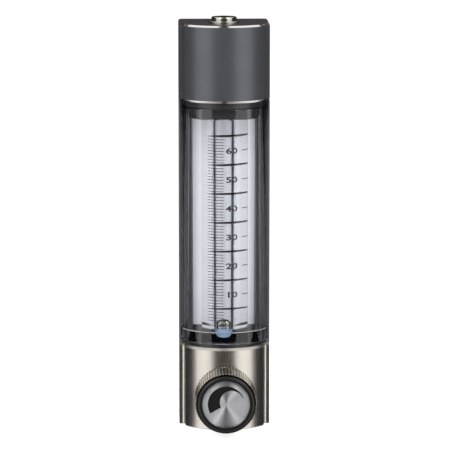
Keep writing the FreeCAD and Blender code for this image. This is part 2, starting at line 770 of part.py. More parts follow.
def make_clamp():
    """Make the spindle, its ring, the gland nut and the clamp screw in the upper block."""
    length = "(at.spindle_top - at.packing_top)"
    port = "(at.upper_port - at.packing_top)"
    waist_base = f"{port} - dims.spindle_waist_half_length"
    waist_top = f"{port} + dims.spindle_waist_half_length"
    groove_base = f"{length} - dims.groove_width - dims.ring_section * 2"
    groove_radius = "at.spindle_radius - dims.groove_depth"
    spindle = revolved(
        "clamp_spindle",
        [
            ("0", "0"),
            ("at.spindle_radius", "0"),
            ("at.spindle_radius", waist_base),
            ("dims.spindle_waist_radius", waist_base),
            ("dims.spindle_waist_radius", waist_top),
            ("at.spindle_radius", waist_top),
            ("at.spindle_radius", groove_base),
            (groove_radius, groove_base),
            (groove_radius, f"{groove_base} + dims.groove_width"),
            ("at.spindle_radius", f"{groove_base} + dims.groove_width"),
            ("at.spindle_radius", length),
            ("0", length),
        ],
        z="at.packing_top",
    )
    cylinder(spindle, "dims.spindle_bore_radius", f"{port} + dims.spindle_bore_radius")
    cross_place = {"y": "dims.spindle_waist_radius + 1", "z": port}
    cross_length = "2 * dims.spindle_waist_radius + 2"
    cylinder(spindle, "dims.spindle_bore_radius", cross_length, rotation=FORWARD, **cross_place)
    ring_section = "(dims.groove_depth + dims.running_fit - dims.thread_fit) / 2"
    make_o_ring(
        "spindle_o_ring",
        f"{groove_radius} + {ring_section}",
        f"{ring_section} - dims.thread_fit / 2",
        z=f"at.packing_top + {groove_base} + dims.groove_width / 2",
    )
    thread = "dims.clamp_thread_radius - dims.thread_fit"
    gland = revolved(
        "gland_nut",
        [
            ("dims.clamp_screw_radius + dims.thread_fit", "0"),
            (thread, "0"),
            (thread, "dims.gland_length - dims.gland_flange_thickness"),
            ("dims.gland_flange_radius", "dims.gland_length - dims.gland_flange_thickness"),
            ("dims.gland_flange_radius", "dims.gland_length"),
            ("dims.clamp_screw_radius + dims.thread_fit", "dims.gland_length"),
        ],
        z="at.gland_base",
    )
    rounded_edges(
        gland,
        "Chamfer",
        "dims.gland_flange_thickness / 3",
        level_edges(value("dims.gland_length"), value("dims.clamp_head_radius")),
    )
    shank = "(at.gland_top - at.spindle_top)"
    screw = revolved(
        "clamp_screw",
        [
            ("0", "0"),
            ("dims.clamp_screw_radius", "0"),
            ("dims.clamp_screw_radius", shank),
            ("dims.clamp_head_radius", shank),
            ("dims.clamp_head_radius", f"{shank} + dims.clamp_head_height"),
            ("0", f"{shank} + dims.clamp_head_height"),
        ],
        z="at.spindle_top",
    )
    top = value(f"{shank} + dims.clamp_head_height")
    rounded_edges(screw, "Fillet", "dims.clamp_head_fillet", level_edges(top))
    hexagon(
        screw,
        "dims.clamp_socket_width",
        "dims.clamp_socket_depth",
        z=f"{shank} + dims.clamp_head_height - dims.clamp_socket_depth",
    )


def make_valve():
    """Make the seat, bonnet, stem and seals, each with its own Z axis pointing out of the block."""
    axis = {"z": "dims.valve_height", "rotation": FORWARD}
    make_flat_ring(
        "valve_seat",
        "dims.seat_hole_radius",
        "dims.cavity_radius - dims.thread_fit",
        "dims.seat_thickness",
        y="dims.cavity_end_depth",
        **axis,
    )
    thread = "dims.cavity_radius - dims.thread_fit"
    bonnet = revolved(
        "valve_bonnet",
        [
            ("at.bonnet_bore", "0"),
            (thread, "0"),
            (thread, "dims.bonnet_insert - dims.groove_width"),
            (f"{thread} - dims.groove_depth", "dims.bonnet_insert - dims.groove_width"),
            (f"{thread} - dims.groove_depth", "dims.bonnet_insert"),
            ("at.bonnet_bore", "dims.bonnet_insert"),
        ],
        y="-at.bonnet_base",
        **axis,
    )
    hexagon(
        bonnet,
        "dims.bonnet_hex_width",
        "dims.bonnet_hex_height",
        cut=False,
        z="dims.bonnet_insert",
    )
    cylinder(bonnet, "at.bonnet_bore", "dims.bonnet_insert + dims.bonnet_hex_height")
    make_o_ring(
        "bonnet_o_ring",
        f"{thread} - dims.groove_depth / 2",
        "dims.groove_depth / 2 - dims.thread_fit",
        y="-at.spotface_reach + dims.groove_width / 2",
        **axis,
    )
    length = "(at.stem_top - at.stem_base)"
    groove = "(dims.stem_groove_reach - at.stem_base)"
    groove_radius = "dims.stem_radius - dims.groove_depth"
    revolved(
        "valve_stem",
        [
            ("0", "-dims.needle_length"),
            ("dims.needle_tip_radius", "-dims.needle_length"),
            ("dims.needle_radius", "0"),
            ("dims.stem_radius", "0"),
            ("dims.stem_radius", groove),
            (groove_radius, groove),
            (groove_radius, f"{groove} + dims.groove_width"),
            ("dims.stem_radius", f"{groove} + dims.groove_width"),
            ("dims.stem_radius", length),
            ("0", length),
        ],
        y="-at.stem_base",
        **axis,
    )
    section = "(dims.groove_depth + dims.running_fit) / 2 - dims.thread_fit"
    make_o_ring(
        "stem_o_ring",
        "dims.stem_radius + dims.running_fit - (dims.groove_depth + dims.running_fit) / 2",
        section,
        y="-dims.stem_groove_reach - dims.groove_width / 2",
        **axis,
    )


def make_knob():
    """Make the tapered fluted knob, its rim ring, its face and its set screw."""
    axis = {"z": "dims.valve_height", "rotation": FORWARD}
    crown = "dims.knob_length - dims.knob_rim_height"
    hub_face = "dims.knob_hub_setback"
    bore_end = "at.knob_bore_end - at.knob_reach"
    knob = revolved(
        "knob_body",
        [
            ("at.knob_recess_radius", "0"),
            ("dims.knob_radius", "0"),
            ("at.knob_front_radius", crown),
            ("at.knob_front_radius - dims.knob_wall", crown),
            ("at.knob_front_radius - dims.knob_wall", "at.face_seat - at.knob_reach"),
            ("0", "at.face_seat - at.knob_reach"),
            ("0", bore_end),
            ("dims.stem_radius + dims.thread_fit", bore_end),
            ("dims.stem_radius + dims.thread_fit", hub_face),
            ("dims.knob_hub_radius", hub_face),
            ("dims.knob_hub_radius", "dims.knob_recess"),
            ("at.knob_recess_radius", "dims.knob_recess"),
        ],
        y="-at.knob_reach",
        **axis,
    )
    set_screw_height = "at.set_screw_axis - at.knob_reach"
    radial = {"rotation": FreeCAD.Rotation(FreeCAD.Vector(1, 0, 0), 90), "z": set_screw_height}
    cylinder(knob, "dims.set_screw_radius", "dims.knob_radius + 1", **radial)
    run = value(crown)
    lean = math.degrees(math.atan2(value("dims.knob_taper"), run))
    flute = cylinder(
        knob,
        "dims.flute_radius",
        f"{crown} + 2",
        rotation=FreeCAD.Rotation(FreeCAD.Vector(0, 1, 0), -lean),
        x="dims.knob_radius + dims.flute_radius - dims.flute_depth",
        z="-1",
    )
    doc.recompute()
    flutes = knob.newObject("PartDesign::PolarPattern", "knob_flutes")
    flutes.Originals = [flute]
    flutes.Axis = (origin_feature(knob, "Z_Axis"), [""])
    flutes.Angle = 360
    bind(flutes, Occurrences="dims.flute_count")
    knob.Tip = flutes
    slope = "dims.rim_ring_slope"
    revolved(
        "knob_rim",
        [
            ("dims.face_radius", "0"),
            ("at.rim_ring_radius", "0"),
            ("at.rim_ring_radius", f"dims.knob_rim_height - {slope} / 2"),
            (f"at.rim_ring_radius - {slope}", "dims.knob_rim_height"),
            ("dims.face_radius", "dims.knob_rim_height"),
        ],
        y="-at.knob_shoulder",
        **axis,
    )
    face = "dims.face_radius - dims.running_fit"
    revolved(
        "knob_face",
        [
            ("0", "0"),
            (face, "0"),
            (face, "dims.face_thickness"),
            ("0", "dims.face_thickness - dims.face_dish_depth"),
        ],
        y="-at.face_seat",
        **axis,
    )
    make_set_screw()


def make_set_screw():
    """Make the knob's set screw, which points from the knob's underside up to the stem."""
    screw = new_body(
        "knob_set_screw",
        y="-at.set_screw_axis",
        z="dims.valve_height - dims.stem_radius",
        rotation=FreeCAD.Rotation(FreeCAD.Vector(1, 0, 0), 180),
    )
    radius = "dims.set_screw_radius - dims.thread_fit"
    cylinder(screw, radius, "dims.set_screw_length", cut=False)
    socket = "dims.set_screw_socket_width"
    hexagon(screw, socket, socket, z=f"dims.set_screw_length - {socket}")


def make_housing_screws():
    """Make the four countersunk socket screws as separate solids in one node."""
    head = "dims.screw_head_radius"
    sink = "(dims.screw_head_radius - dims.screw_radius)"
    master = doc.addObject("PartDesign::Body", "housing_screw")
    sketch = draw(
        new_sketch(master, "XZ_Plane"),
        [
            ("0", "0"),
            (head, "0"),
            ("dims.screw_radius - dims.thread_fit", sink),
            ("dims.screw_radius - dims.thread_fit", "dims.screw_length"),
            ("0", "dims.screw_length"),
        ],
    )
    turning = master.newObject("PartDesign::Revolution", "housing_screw_turning")
    turning.Profile = sketch
    turning.ReferenceAxis = (sketch, ["V_Axis"])
    turning.Angle = 360
    hexagon(master, "dims.screw_socket_width", "dims.screw_socket_depth")
    doc.recompute()
    copies = []
    heights = ("dims.lower_height - dims.tongue_length / 2", "at.upper_base + dims.tongue_length / 2")
    for height in heights:
        for side in (-1, 1):
            copy = master.Shape.copy()
            place = FreeCAD.Vector(
                side * value("dims.screw_spacing / 2"),
                value("dims.back_depth - dims.seat_gap"),
                value(height),
            )
            copy.Placement = FreeCAD.Placement(place, FORWARD)
            copies.append(copy)
    screws = doc.addObject("Part::Feature", "housing_screws")
    screws.Label = "housing_screws"
    screws.Shape = Part.makeCompound(copies)
    parts.append(screws)


make_lower_block()
make_upper_block()
make_rear_housing()
make_back_plate()
make_front_shield()
make_lower_collar()
make_upper_collar()
make_metering_tube()
make_float_ball()
make_lower_float_stop()
make_upper_float_stop()
make_flat_ring(
    "lower_gasket",
    "dims.passage_radius",
    "dims.gasket_radius",
    "dims.gasket_thickness",
    z="dims.lower_height - dims.gasket_thickness",
)
make_flat_ring(
    "upper_packing",
    "dims.spindle_bore_radius",
    "dims.tube_radius",
    "dims.packing_thickness",
    z="at.tube_top",
)
make_clamp()
make_valve()
make_knob()
make_housing_screws()
doc.recompute()

for item in doc.Objects:
    if "Invalid" in item.State or "Error" in item.State:
        raise RuntimeError(f"{item.Label} did not compute: {item.State}")
for part in parts:
    if part.Shape.isNull() or not part.Shape.isValid() or not part.Shape.Solids:
        raise RuntimeError(f"{part.Label} has no valid solid")

os.makedirs("parts", exist_ok=True)
for part in parts:
    part.Shape.exportStep(f"parts/{part.Label}.step")
    print(part.Label, len(part.Shape.Solids), round(part.Shape.Volume, 1))
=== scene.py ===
"""Looks of a slim variable-area flow meter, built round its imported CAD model.

Sizes are millimetres in the code and metres in the scene. +Z is up along the glass tube, and the
knob and the reader's side face -Y.
"""

import logging
import math
from dataclasses import dataclass, field
from enum import Enum

import bmesh
import bpy
from mathutils import Euler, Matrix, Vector

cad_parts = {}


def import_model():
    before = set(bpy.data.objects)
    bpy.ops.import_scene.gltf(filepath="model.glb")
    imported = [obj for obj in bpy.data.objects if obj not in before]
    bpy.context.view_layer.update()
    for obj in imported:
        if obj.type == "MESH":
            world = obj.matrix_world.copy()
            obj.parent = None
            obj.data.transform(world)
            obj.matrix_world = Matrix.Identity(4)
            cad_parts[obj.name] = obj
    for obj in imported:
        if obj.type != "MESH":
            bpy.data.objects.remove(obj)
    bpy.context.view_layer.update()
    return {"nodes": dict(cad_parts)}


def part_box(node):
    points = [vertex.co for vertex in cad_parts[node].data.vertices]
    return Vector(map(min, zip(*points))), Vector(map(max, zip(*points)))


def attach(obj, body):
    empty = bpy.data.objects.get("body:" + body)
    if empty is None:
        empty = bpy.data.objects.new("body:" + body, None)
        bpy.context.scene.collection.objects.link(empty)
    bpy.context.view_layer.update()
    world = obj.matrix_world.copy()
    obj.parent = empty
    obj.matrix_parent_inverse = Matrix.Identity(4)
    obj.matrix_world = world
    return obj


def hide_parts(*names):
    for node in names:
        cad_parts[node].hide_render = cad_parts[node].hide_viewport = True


Tree = bpy.types.NodeTree
Socket = bpy.types.NodeSocket
Piece = bpy.types.Object
BMesh = bmesh.types.BMesh
Nodes = dict[str, Piece]
Point = tuple[float, float]

LOG = logging.getLogger("flow_meter")
MM = 0.001
MERGE = 1e-5
SHARP_ANGLE = 32.0
GLASS_SHARP_ANGLE = 50.0


class Axis(Enum):
    """The way a turned piece's own axis points."""

    UP = "up"
    FORWARD = "forward"


class Body(Enum):
    """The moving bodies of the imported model."""

    METER = "meter"
    FLOAT = "float"
    KNOB = "knob"


def linear(hex_colour: str) -> tuple[float, float, float, float]:
    """Turn an sRGB hex colour into linear RGBA.

    Args:
        hex_colour: six hex digits after a hash sign.

    Returns:
        The colour with an alpha of 1.
    """
    parts = [int(hex_colour[i : i + 2], 16) / 255 for i in (1, 3, 5)]
    tones = [c / 12.92 if c <= 0.04045 else ((c + 0.055) / 1.055) ** 2.4 for c in parts]
    return (tones[0], tones[1], tones[2], 1.0)


def add_node(
    tree: Tree, kind: str, inputs: dict | None = None, **settings: object
) -> bpy.types.Node:
    """Add a node with its settings and inputs.

    Args:
        tree: the node tree that gets the node.
        kind: the node's type name.
        inputs: for each socket's name or index, a value or the output socket that feeds it.
        **settings: the node's own properties.

    Returns:
        The new node.
    """
    node = tree.nodes.new(kind)
    for name, setting in settings.items():
        setattr(node, name, setting)
    for key, source in (inputs or {}).items():
        if isinstance(source, Socket):
            tree.links.new(source, node.inputs[key])
        else:
            node.inputs[key].default_value = source
    return node


def scalar(tree: Tree, operation: str, *terms: object) -> Socket:
    """Return the outcome of one step of arithmetic on numbers or sockets."""
    node = add_node(tree, "ShaderNodeMath", dict(enumerate(terms)), operation=operation)
    return node.outputs[0]


def vector(tree: Tree, operation: str, *terms: object) -> Socket:
    """Return the outcome of one step of arithmetic on vectors or sockets."""
    node = add_node(tree, "ShaderNodeVectorMath", dict(enumerate(terms)), operation=operation)
    return node.outputs["Value" if operation == "LENGTH" else "Vector"]


def blend(tree: Tree, share: Socket, first: object, second: object) -> Socket:
    """Return a colour between the first and the second, by share."""
    node = add_node(tree, "ShaderNodeMix", {0: share, 6: first, 7: second}, data_type="RGBA")
    return node.outputs[2]


# ---------------------------------------------------------------------------------------------
# Finishes
# ---------------------------------------------------------------------------------------------


@dataclass(frozen=True)
class Finish:
    """A finish as shader settings, with mottling and grain worked out in real sizes.

    The grain is a noise stretched along one way, given as the width, depth and height of one
    grain in millimetres. Grain 0.3 mm wide is the finest that shows at this scale, so brush
    lines are drawn that coarse.
    """

    name: str
    colour: str
    second_colour: str
    metallic: float = 0.0
    roughness: float = 0.4
    roughness_spread: float = 0.06
    grain: tuple[float, float, float] = (0.6, 0.6, 0.6)
    grain_depth: float = 0.004
    mottle: float = 6.0
    settings: tuple[tuple[str, object], ...] = ()

    def material(self) -> bpy.types.Material:
        """Build the material.

        Returns:
            The material, made once and then found by its name.
        """
        made = bpy.data.materials.get(self.name)
        if made:
            return made
        made = bpy.data.materials.new(self.name)
        made.use_nodes = True
        tree = made.node_tree
        tree.nodes.clear()
        place = add_node(tree, "ShaderNodeTexCoord").outputs["Object"]
        shader = add_node(
            tree, "ShaderNodeBsdfPrincipled", {"Metallic": self.metallic, **dict(self.settings)}
        )
        tree.links.new(self.colour_socket(tree, place), shader.inputs["Base Color"])
        tree.links.new(self.roughness_socket(tree, place), shader.inputs["Roughness"])
        if self.grain_depth:
            tree.links.new(self.bump_socket(tree, place), shader.inputs["Normal"])
        self.extra(tree, place, shader)
        add_node(tree, "ShaderNodeOutputMaterial", {"Surface": shader.outputs[0]})
        return made

    def stretched(self, tree: Tree, place: Socket) -> Socket:
        """Return noise whose grains have the finish's grain size."""
        scale = tuple(1 / (size * MM) for size in self.grain)
        mapped = add_node(tree, "ShaderNodeMapping", {"Vector": place, "Scale": scale})
        noise = add_node(
            tree,
            "ShaderNodeTexNoise",
            {"Vector": mapped.outputs[0], "Scale": 1.0, "Detail": 2.0, "Roughness": 0.6},
        )
        return noise.outputs[0]

    def colour_socket(self, tree: Tree, place: Socket) -> Socket:
        """Return the colour, which drifts softly between the finish's two tones."""
        drift = add_node(
            tree, "ShaderNodeTexNoise", {"Vector": place, "Scale": 1 / (self.mottle * MM)}
        )
        return blend(tree, drift.outputs[0], linear(self.colour), linear(self.second_colour))

    def roughness_socket(self, tree: Tree, place: Socket) -> Socket:
        """Return the roughness, which the grain varies about its middle value."""
        spread = add_node(
            tree,
            "ShaderNodeMapRange",
            {
                "Value": self.stretched(tree, place),
                "From Min": 0.3,
                "From Max": 0.7,
                "To Min": self.roughness - self.roughness_spread,
                "To Max": self.roughness + self.roughness_spread,
            },
        )
        return spread.outputs[0]

    def bump_socket(self, tree: Tree, place: Socket) -> Socket:
        """Return the normal that the grain's relief gives."""
        bump = add_node(
            tree,
            "ShaderNodeBump",
            {
                "Height": self.stretched(tree, place),
                "Distance": self.grain_depth * MM,
                "Strength": 1.0,
            },
        )
        return bump.outputs[0]

    def extra(self, tree: Tree, place: Socket, shader: bpy.types.Node) -> None:
        """Add what one finish alone has."""


@dataclass(frozen=True)
class KnobFinish(Finish):
    """A finish whose pattern runs about the knob's axis."""

    axis_height: float = 12.5

    def arm(self, tree: Tree, place: Socket) -> Socket:
        """Return the way out from the knob's axis, square to it."""
        centred = vector(tree, "SUBTRACT", place, (0.0, 0.0, self.axis_height * MM))
        return vector(tree, "MULTIPLY", centred, (1.0, 0.0, 1.0))


@dataclass(frozen=True)
class SpunFinish(KnobFinish):
    """Metal faced off on a lathe: rings about the knob's axis that fan the light out."""

    def extra(self, tree: Tree, place: Socket, shader: bpy.types.Node) -> None:
        """Turn the highlight's direction to follow the rings."""
        along = vector(tree, "CROSS_PRODUCT", self.arm(tree, place), (0.0, 1.0, 0.0))
        tree.links.new(vector(tree, "NORMALIZE", along), shader.inputs["Tangent"])

    def stretched(self, tree: Tree, place: Socket) -> Socket:
        """Return noise in rings about the knob's axis, one ring to each grain width."""
        radius = vector(tree, "LENGTH", self.arm(tree, place))
        scale = 1 / (self.grain[0] * MM)
        inputs = {"W": radius, "Scale": scale, "Detail": 3.0}
        return add_node(tree, "ShaderNodeTexNoise", inputs, noise_dimensions="1D").outputs[0]


@dataclass(frozen=True)
class FlutedFinish(KnobFinish):
    """Bright metal with painted shade that darkens the bottoms of its flutes."""

    crest: float = 10.28
    groove: float = 9.98
    # Near-black colour of the painted shade in the flutes' bottoms.
    groove_colour: str = "#080707"

    def colour_socket(self, tree: Tree, place: Socket) -> Socket:
        """Return the colour, with painted shade that darkens it from the crests to the bottoms of
        the flutes.
        """
        height = add_node(
            tree,
            "ShaderNodeMapRange",
            {
                "Value": vector(tree, "LENGTH", self.arm(tree, place)),
                "From Min": self.groove * MM,
                "From Max": self.crest * MM,
            },
        )
        bright = super().colour_socket(tree, place)
        # Painted shade: blend towards the near-black colour in the flutes' bottoms.
        return blend(tree, height.outputs[0], linear(self.groove_colour), bright)


@dataclass(frozen=True)
class CoatedFinish(Finish):
    """A coat on a block whose 45 degree edges were cut afterwards and show the bare metal."""

    bare_colour: str = "#efebe6"
    bare_roughness: float = 0.16
    cut_lean: float = 0.68
    lean_spread: float = 0.26

    def bare_share(self, tree: Tree) -> Socket:
        """Return 1 on faces that lean by about 45 degrees and 0 elsewhere."""
        facing = add_node(tree, "ShaderNodeTexCoord").outputs["Normal"]
        parts = add_node(tree, "ShaderNodeSeparateXYZ", {0: facing})
        lean = scalar(tree, "ABSOLUTE", parts.outputs["Z"])
        return scalar(tree, "COMPARE", lean, self.cut_lean, self.lean_spread)

    def colour_socket(self, tree: Tree, place: Socket) -> Socket:
        """Return the coat's colour, and the bare metal's on the cut edges."""
        coat = super().colour_socket(tree, place)
        return blend(tree, self.bare_share(tree), coat, linear(self.bare_colour))

    def roughness_socket(self, tree: Tree, place: Socket) -> Socket:
        """Return the coat's roughness, and the bare metal's on the cut edges."""
        coat = super().roughness_socket(tree, place)
        mixed = add_node(
            tree, "ShaderNodeMix", {0: self.bare_share(tree), 2: coat, 3: self.bare_roughness}
        )
        return mixed.outputs[0]

    def extra(self, tree: Tree, place: Socket, shader: bpy.types.Node) -> None:
        """Make the cut edges fully metallic."""
        mixed = add_node(
            tree, "ShaderNodeMix", {0: self.bare_share(tree), 2: self.metallic, 3: 1.0}
        )
        tree.links.new(mixed.outputs[0], shader.inputs["Metallic"])


# Brushed stainless bar: the lengthwise brush lines spread highlights into soft upright bands.
STAINLESS = Finish(
    name="brushed_stainless_steel",
    colour="#cdc8c1",
    second_colour="#c0bab2",
    metallic=1.0,
    roughness=0.3,
    roughness_spread=0.04,
    grain=(0.3, 0.3, 14.0),
    grain_depth=0.0005,
)
# Satin stoved coat on the upper block: dark grey with a soft, slightly blue sheen.
CHARCOAL_COAT = CoatedFinish(
    name="charcoal_satin_coat",
    colour="#55565b",
    second_colour="#4d4e53",
    metallic=0.6,
    roughness=0.36,
    grain=(0.35, 0.35, 0.35),
    grain_depth=0.003,
)
# Hard black anodising of the channel behind the window.
BLACK_ANODISE = Finish(
    name="black_anodised_aluminium",
    colour="#6c6b71",
    second_colour="#5f5e64",
    metallic=0.6,
    roughness=0.34,
    grain=(0.4, 0.4, 9.0),
    grain_depth=0.002,
)
# White-enamelled sheet that the scale is read against.
WHITE_ENAMEL = Finish(
    name="white_enamelled_sheet",
    colour="#e4e3ea",
    second_colour="#dcdbe3",
    roughness=0.3,
    grain=(0.8, 0.8, 0.8),
    grain_depth=0.002,
)
# Moulded acrylic: clear, with a polish that drifts faintly along the moulded faces.
CLEAR_ACRYLIC = Finish(
    name="clear_moulded_acrylic",
    colour="#fafafb",
    second_colour="#f5f6f8",
    roughness=0.02,
    roughness_spread=0.015,
    grain=(5.0, 5.0, 16.0),
    grain_depth=0.0,
    settings=(("Transmission Weight", 1.0), ("IOR", 1.49)),
)
# Painted highlight on the acrylic rim's upper edge: a pale opaque line that stands in for the
# light the edge catches.
PAINTED_RIM_HIGHLIGHT = Finish(
    name="painted_highlight_acrylic_rim",
    colour="#b9b6ba",
    second_colour="#8f8b90",
    roughness=0.25,
    roughness_spread=0.05,
    grain=(1.5, 1.5, 0.4),
    grain_depth=0.001,
    mottle=7.0,
)
# Drawn borosilicate tube: clear, fire-polished outside.
BOROSILICATE = Finish(
    name="borosilicate_glass",
    colour="#fafcfc",
    second_colour="#f5f9f9",
    roughness=0.012,
    roughness_spread=0.01,
    grain=(3.0, 3.0, 12.0),
    grain_depth=0.0,
    settings=(("Transmission Weight", 1.0), ("IOR", 1.473)),
)
# Fired ceramic ink of the graduation: dark grey, slightly raised and dull.
CERAMIC_INK = Finish(
    name="fired_ceramic_ink",
    colour="#202127",
    second_colour="#2a2b31",
    roughness=0.55,
    grain=(0.3, 0.3, 0.3),
    grain_depth=0.004,
)
# Moulded black acetal of the collars: satin, with a faint flow pattern.
BLACK_ACETAL = Finish(
    name="black_acetal",
    colour="#252427",
    second_colour="#1d1c1f",
    roughness=0.32,
    grain=(1.2, 1.2, 0.5),
    grain_depth=0.004,
)
# Lapped ball: mirror bright steel with hair-fine lapping marks.
LAPPED_STEEL = Finish(
    name="lapped_bearing_steel",
    colour="#a9a4a0",
    second_colour="#9a948f",
    metallic=1.0,
    roughness=0.09,
    roughness_spread=0.03,
    grain=(0.3, 0.3, 0.3),
    grain_depth=0.0005,
)
# Pale blue fluoropolymer of the float stops: waxy and a little translucent.
BLUE_FLUOROPOLYMER = Finish(
    name="pale_blue_fluoropolymer",
    colour="#8fabc9",
    second_colour="#7896b8",
    roughness=0.38,
    grain=(0.5, 0.5, 0.25),
    grain_depth=0.004,
    settings=(("Subsurface Weight", 0.25), ("Subsurface Scale", 0.001)),
)
# Moulded fluoroelastomer of the seals: dull black with a fine bloom.
SEAL_RUBBER = Finish(
    name="black_fluoroelastomer",
    colour="#232322",
    second_colour="#2d2c2b",
    roughness=0.62,
    grain=(0.3, 0.3, 0.3),
    grain_depth=0.006,
)
# Turned and polished steel of the clamp, stem and gland.
TURNED_STEEL = Finish(
    name="turned_stainless_steel",
    colour="#c9c5bf",
    second_colour="#b8b3ac",
    metallic=1.0,
    roughness=0.2,
    grain=(2.5, 2.5, 0.3),
    grain_depth=0.0015,
)
# Natural sintered polymer of the valve seat.
SEAT_POLYMER = Finish(
    name="natural_seat_polymer",
    colour="#e4ddcb",
    second_colour="#d8d0bc",
    roughness=0.45,
    grain=(0.4, 0.4, 0.4),
    grain_depth=0.005,
)
# Black oxide on the small socket screws: nearly black with a warm, oily sheen.
BLACK_OXIDE = Finish(
    name="black_oxide_steel",
    colour="#343230",
    second_colour="#272523",
    metallic=0.9,
    roughness=0.38,
    grain=(0.4, 0.4, 0.4),
    grain_depth=0.003,
)
# Bright-dipped aluminium of the knob: the flutes' lands catch sharp lines of light, and painted
# shade darkens the flutes' bottoms.
BRIGHT_ALUMINIUM = FlutedFinish(
    name="bright_dipped_aluminium",
    colour="#efe9de",
    second_colour="#e3dcd0",
    metallic=1.0,
    roughness=0.11,
    roughness_spread=0.03,
    grain=(0.3, 6.0, 0.3),
    grain_depth=0.0003,
)
# Black enamel in the rim and the crescent of the knob.
BLACK_ENAMEL = Finish(
    name="black_satin_enamel",
    colour="#131211",
    second_colour="#0f0e0d",
    roughness=0.4,
    settings=(("Specular IOR Level", 0.3),),
    grain=(0.5, 0.5, 0.5),
    grain_depth=0.003,
)
# Aluminium faced off on a lathe: fine rings fan the light into bright and dark wedges.
SPUN_ALUMINIUM = SpunFinish(
    name="lathe_faced_aluminium",
    colour="#eeeef1",
    second_colour="#e3e3e7",
    metallic=1.0,
    roughness=0.42,
    roughness_spread=0.05,
    grain=(0.25, 0.25, 0.25),
    grain_depth=0.0006,
    settings=(("Anisotropic", 0.94), ("Anisotropic Rotation", 0.25)),
)


# ---------------------------------------------------------------------------------------------
# Mesh tools
# ---------------------------------------------------------------------------------------------


def arc_points(centre: Point, radius: float, first: float, last: float, steps: int) -> list[Point]:
    """Return points along an arc, both ends included.

    Args:
        centre: the arc's centre.
        radius: its radius.
        first: the angle of the first point, in degrees.
        last: the angle of the last point, in degrees.
        steps: the number of equal parts.

    Returns:
        The points in order.
    """
    angles = [math.radians(first + (last - first) * i / steps) for i in range(steps + 1)]
    return [(centre[0] + radius * math.cos(a), centre[1] + radius * math.sin(a)) for a in angles]


def rounded_corner(
    before: Point,
    corner: Point,
    after: Point,
    radius: float,
    steps: int = 4,
) -> list[Point]:
    """Return the points that round one corner of an outline off.

    Args:
        before: the corner before it.
        corner: the corner to round.
        after: the corner after it.
        radius: the distance from the corner at which the rounding starts.
        steps: the number of parts of the rounding.

    Returns:
        The points of the rounding, in order.
    """
    middle = Vector(corner)
    start = middle + (Vector(before) - middle).normalized() * radius
    end = middle + (Vector(after) - middle).normalized() * radius
    points = []
    for i in range(steps + 1):
        t = i / steps
        point = start * (1 - t) ** 2 + middle * 2 * t * (1 - t) + end * t**2
        points.append((point.x, point.y))
    return points


def outline(corners: list[tuple[float, float, float]]) -> list[Point]:
    """Return a closed outline with some of its corners rounded.

    Args:
        corners: for each corner its two coordinates and its rounding, or 0 for a sharp one.

    Returns:
        The outline's points.
    """
    points = []
    for index, (x, y, radius) in enumerate(corners):
        before, after = corners[index - 1][:2], corners[(index + 1) % len(corners)][:2]
        if radius:
            points.extend(rounded_corner(before, (x, y), after, radius))
        else:
            points.append((x, y))
    return points


def finished_mesh(name: str, bm: BMesh, sharp_angle: float = SHARP_ANGLE) -> Piece:
    """Turn millimetres to metres, close and orient the mesh, and link it as a new object.

    Args:
        name: the piece's name.
        bm: the mesh in millimetres, which is freed.
        sharp_angle: edges that turn by more degrees than this stay sharp.

    Returns:
        The new object.
    """
    bmesh.ops.remove_doubles(bm, verts=bm.verts, dist=MERGE)
    bmesh.ops.recalc_face_normals(bm, faces=bm.faces)
    bmesh.ops.scale(bm, vec=(MM, MM, MM), verts=bm.verts)
    mesh = bpy.data.meshes.new(name)
    bm.to_mesh(mesh)
    bm.free()
    mesh.shade_smooth()
    mesh.set_sharp_from_angle(angle=math.radians(sharp_angle))
    piece = bpy.data.objects.new(name, mesh)
    bpy.context.scene.collection.objects.link(piece)
    return piece


def turned(
    name: str,
    profile: list[Point],
    axis: Axis = Axis.UP,
    height: float = 0.0,
    columns: int = 128,
    sharp_angle: float = SHARP_ANGLE,
) -> Piece:
    """Make a solid of revolution.

    Args:
        name: the piece's name.
        profile: the closed half section, as (radius, distance along the axis).
        axis: where the axis points.
        height: the height of a forward axis.
        columns: the number of parts round the axis.
        sharp_angle: edges that turn by more degrees than this stay sharp.

    Returns:
        The new object.
    """
    bm = bmesh.new()
    rings = []
    for radius, along in profile:
        ring = []
        for column in range(columns):
            angle = 2 * math.pi * column / columns
            x, y = radius * math.cos(angle), radius * math.sin(angle)
            place = (x, y, along) if axis is Axis.UP else (x, -along, y + height)
            ring.append(bm.verts.new(place))
        rings.append(ring)
    for index, ring in enumerate(rings):
        beyond = (index + 1) % len(rings)
        if profile[index][0] == profile[beyond][0] == 0:
            continue
        following = rings[beyond]
        for column in range(columns):
            beside = (column + 1) % columns
            bm.faces.new((ring[column], ring[beside], following[beside], following[column]))
    bmesh.ops.remove_doubles(bm, verts=bm.verts, dist=MERGE)
    return finished_mesh(name, bm, sharp_angle)


def stacked(
    name: str, levels: list[tuple[float, list[Point]]], sharp_angle: float = SHARP_ANGLE
) -> Piece:
    """Make an upright solid from sections that have the same number of points.

    Args:
        name: the piece's name.
        levels: for each level its height and its section.
        sharp_angle: edges that turn by more degrees than this stay sharp.

    Returns:
        The new object.
    """
    bm = bmesh.new()
    rings = [[bm.verts.new((x, y, z)) for x, y in section] for z, section in levels]
    for lower, upper in zip(rings, rings[1:]):
        for i in range(len(lower)):
            j = (i + 1) % len(lower)
            bm.faces.new((lower[i], lower[j], upper[j], upper[i]))
    ends = [bm.faces.new(rings[0]), bm.faces.new(rings[-1])]
    bmesh.ops.triangulate(bm, faces=ends)
    return finished_mesh(name, bm, sharp_angle)


def dress(node: Piece, finish: Finish) -> None:
    """Give every material slot of a piece or CAD node one finish."""
    if not node.data.materials:
        node.data.materials.append(None)
    for index in range(len(node.material_slots)):
        node.material_slots[index].material = finish.material()


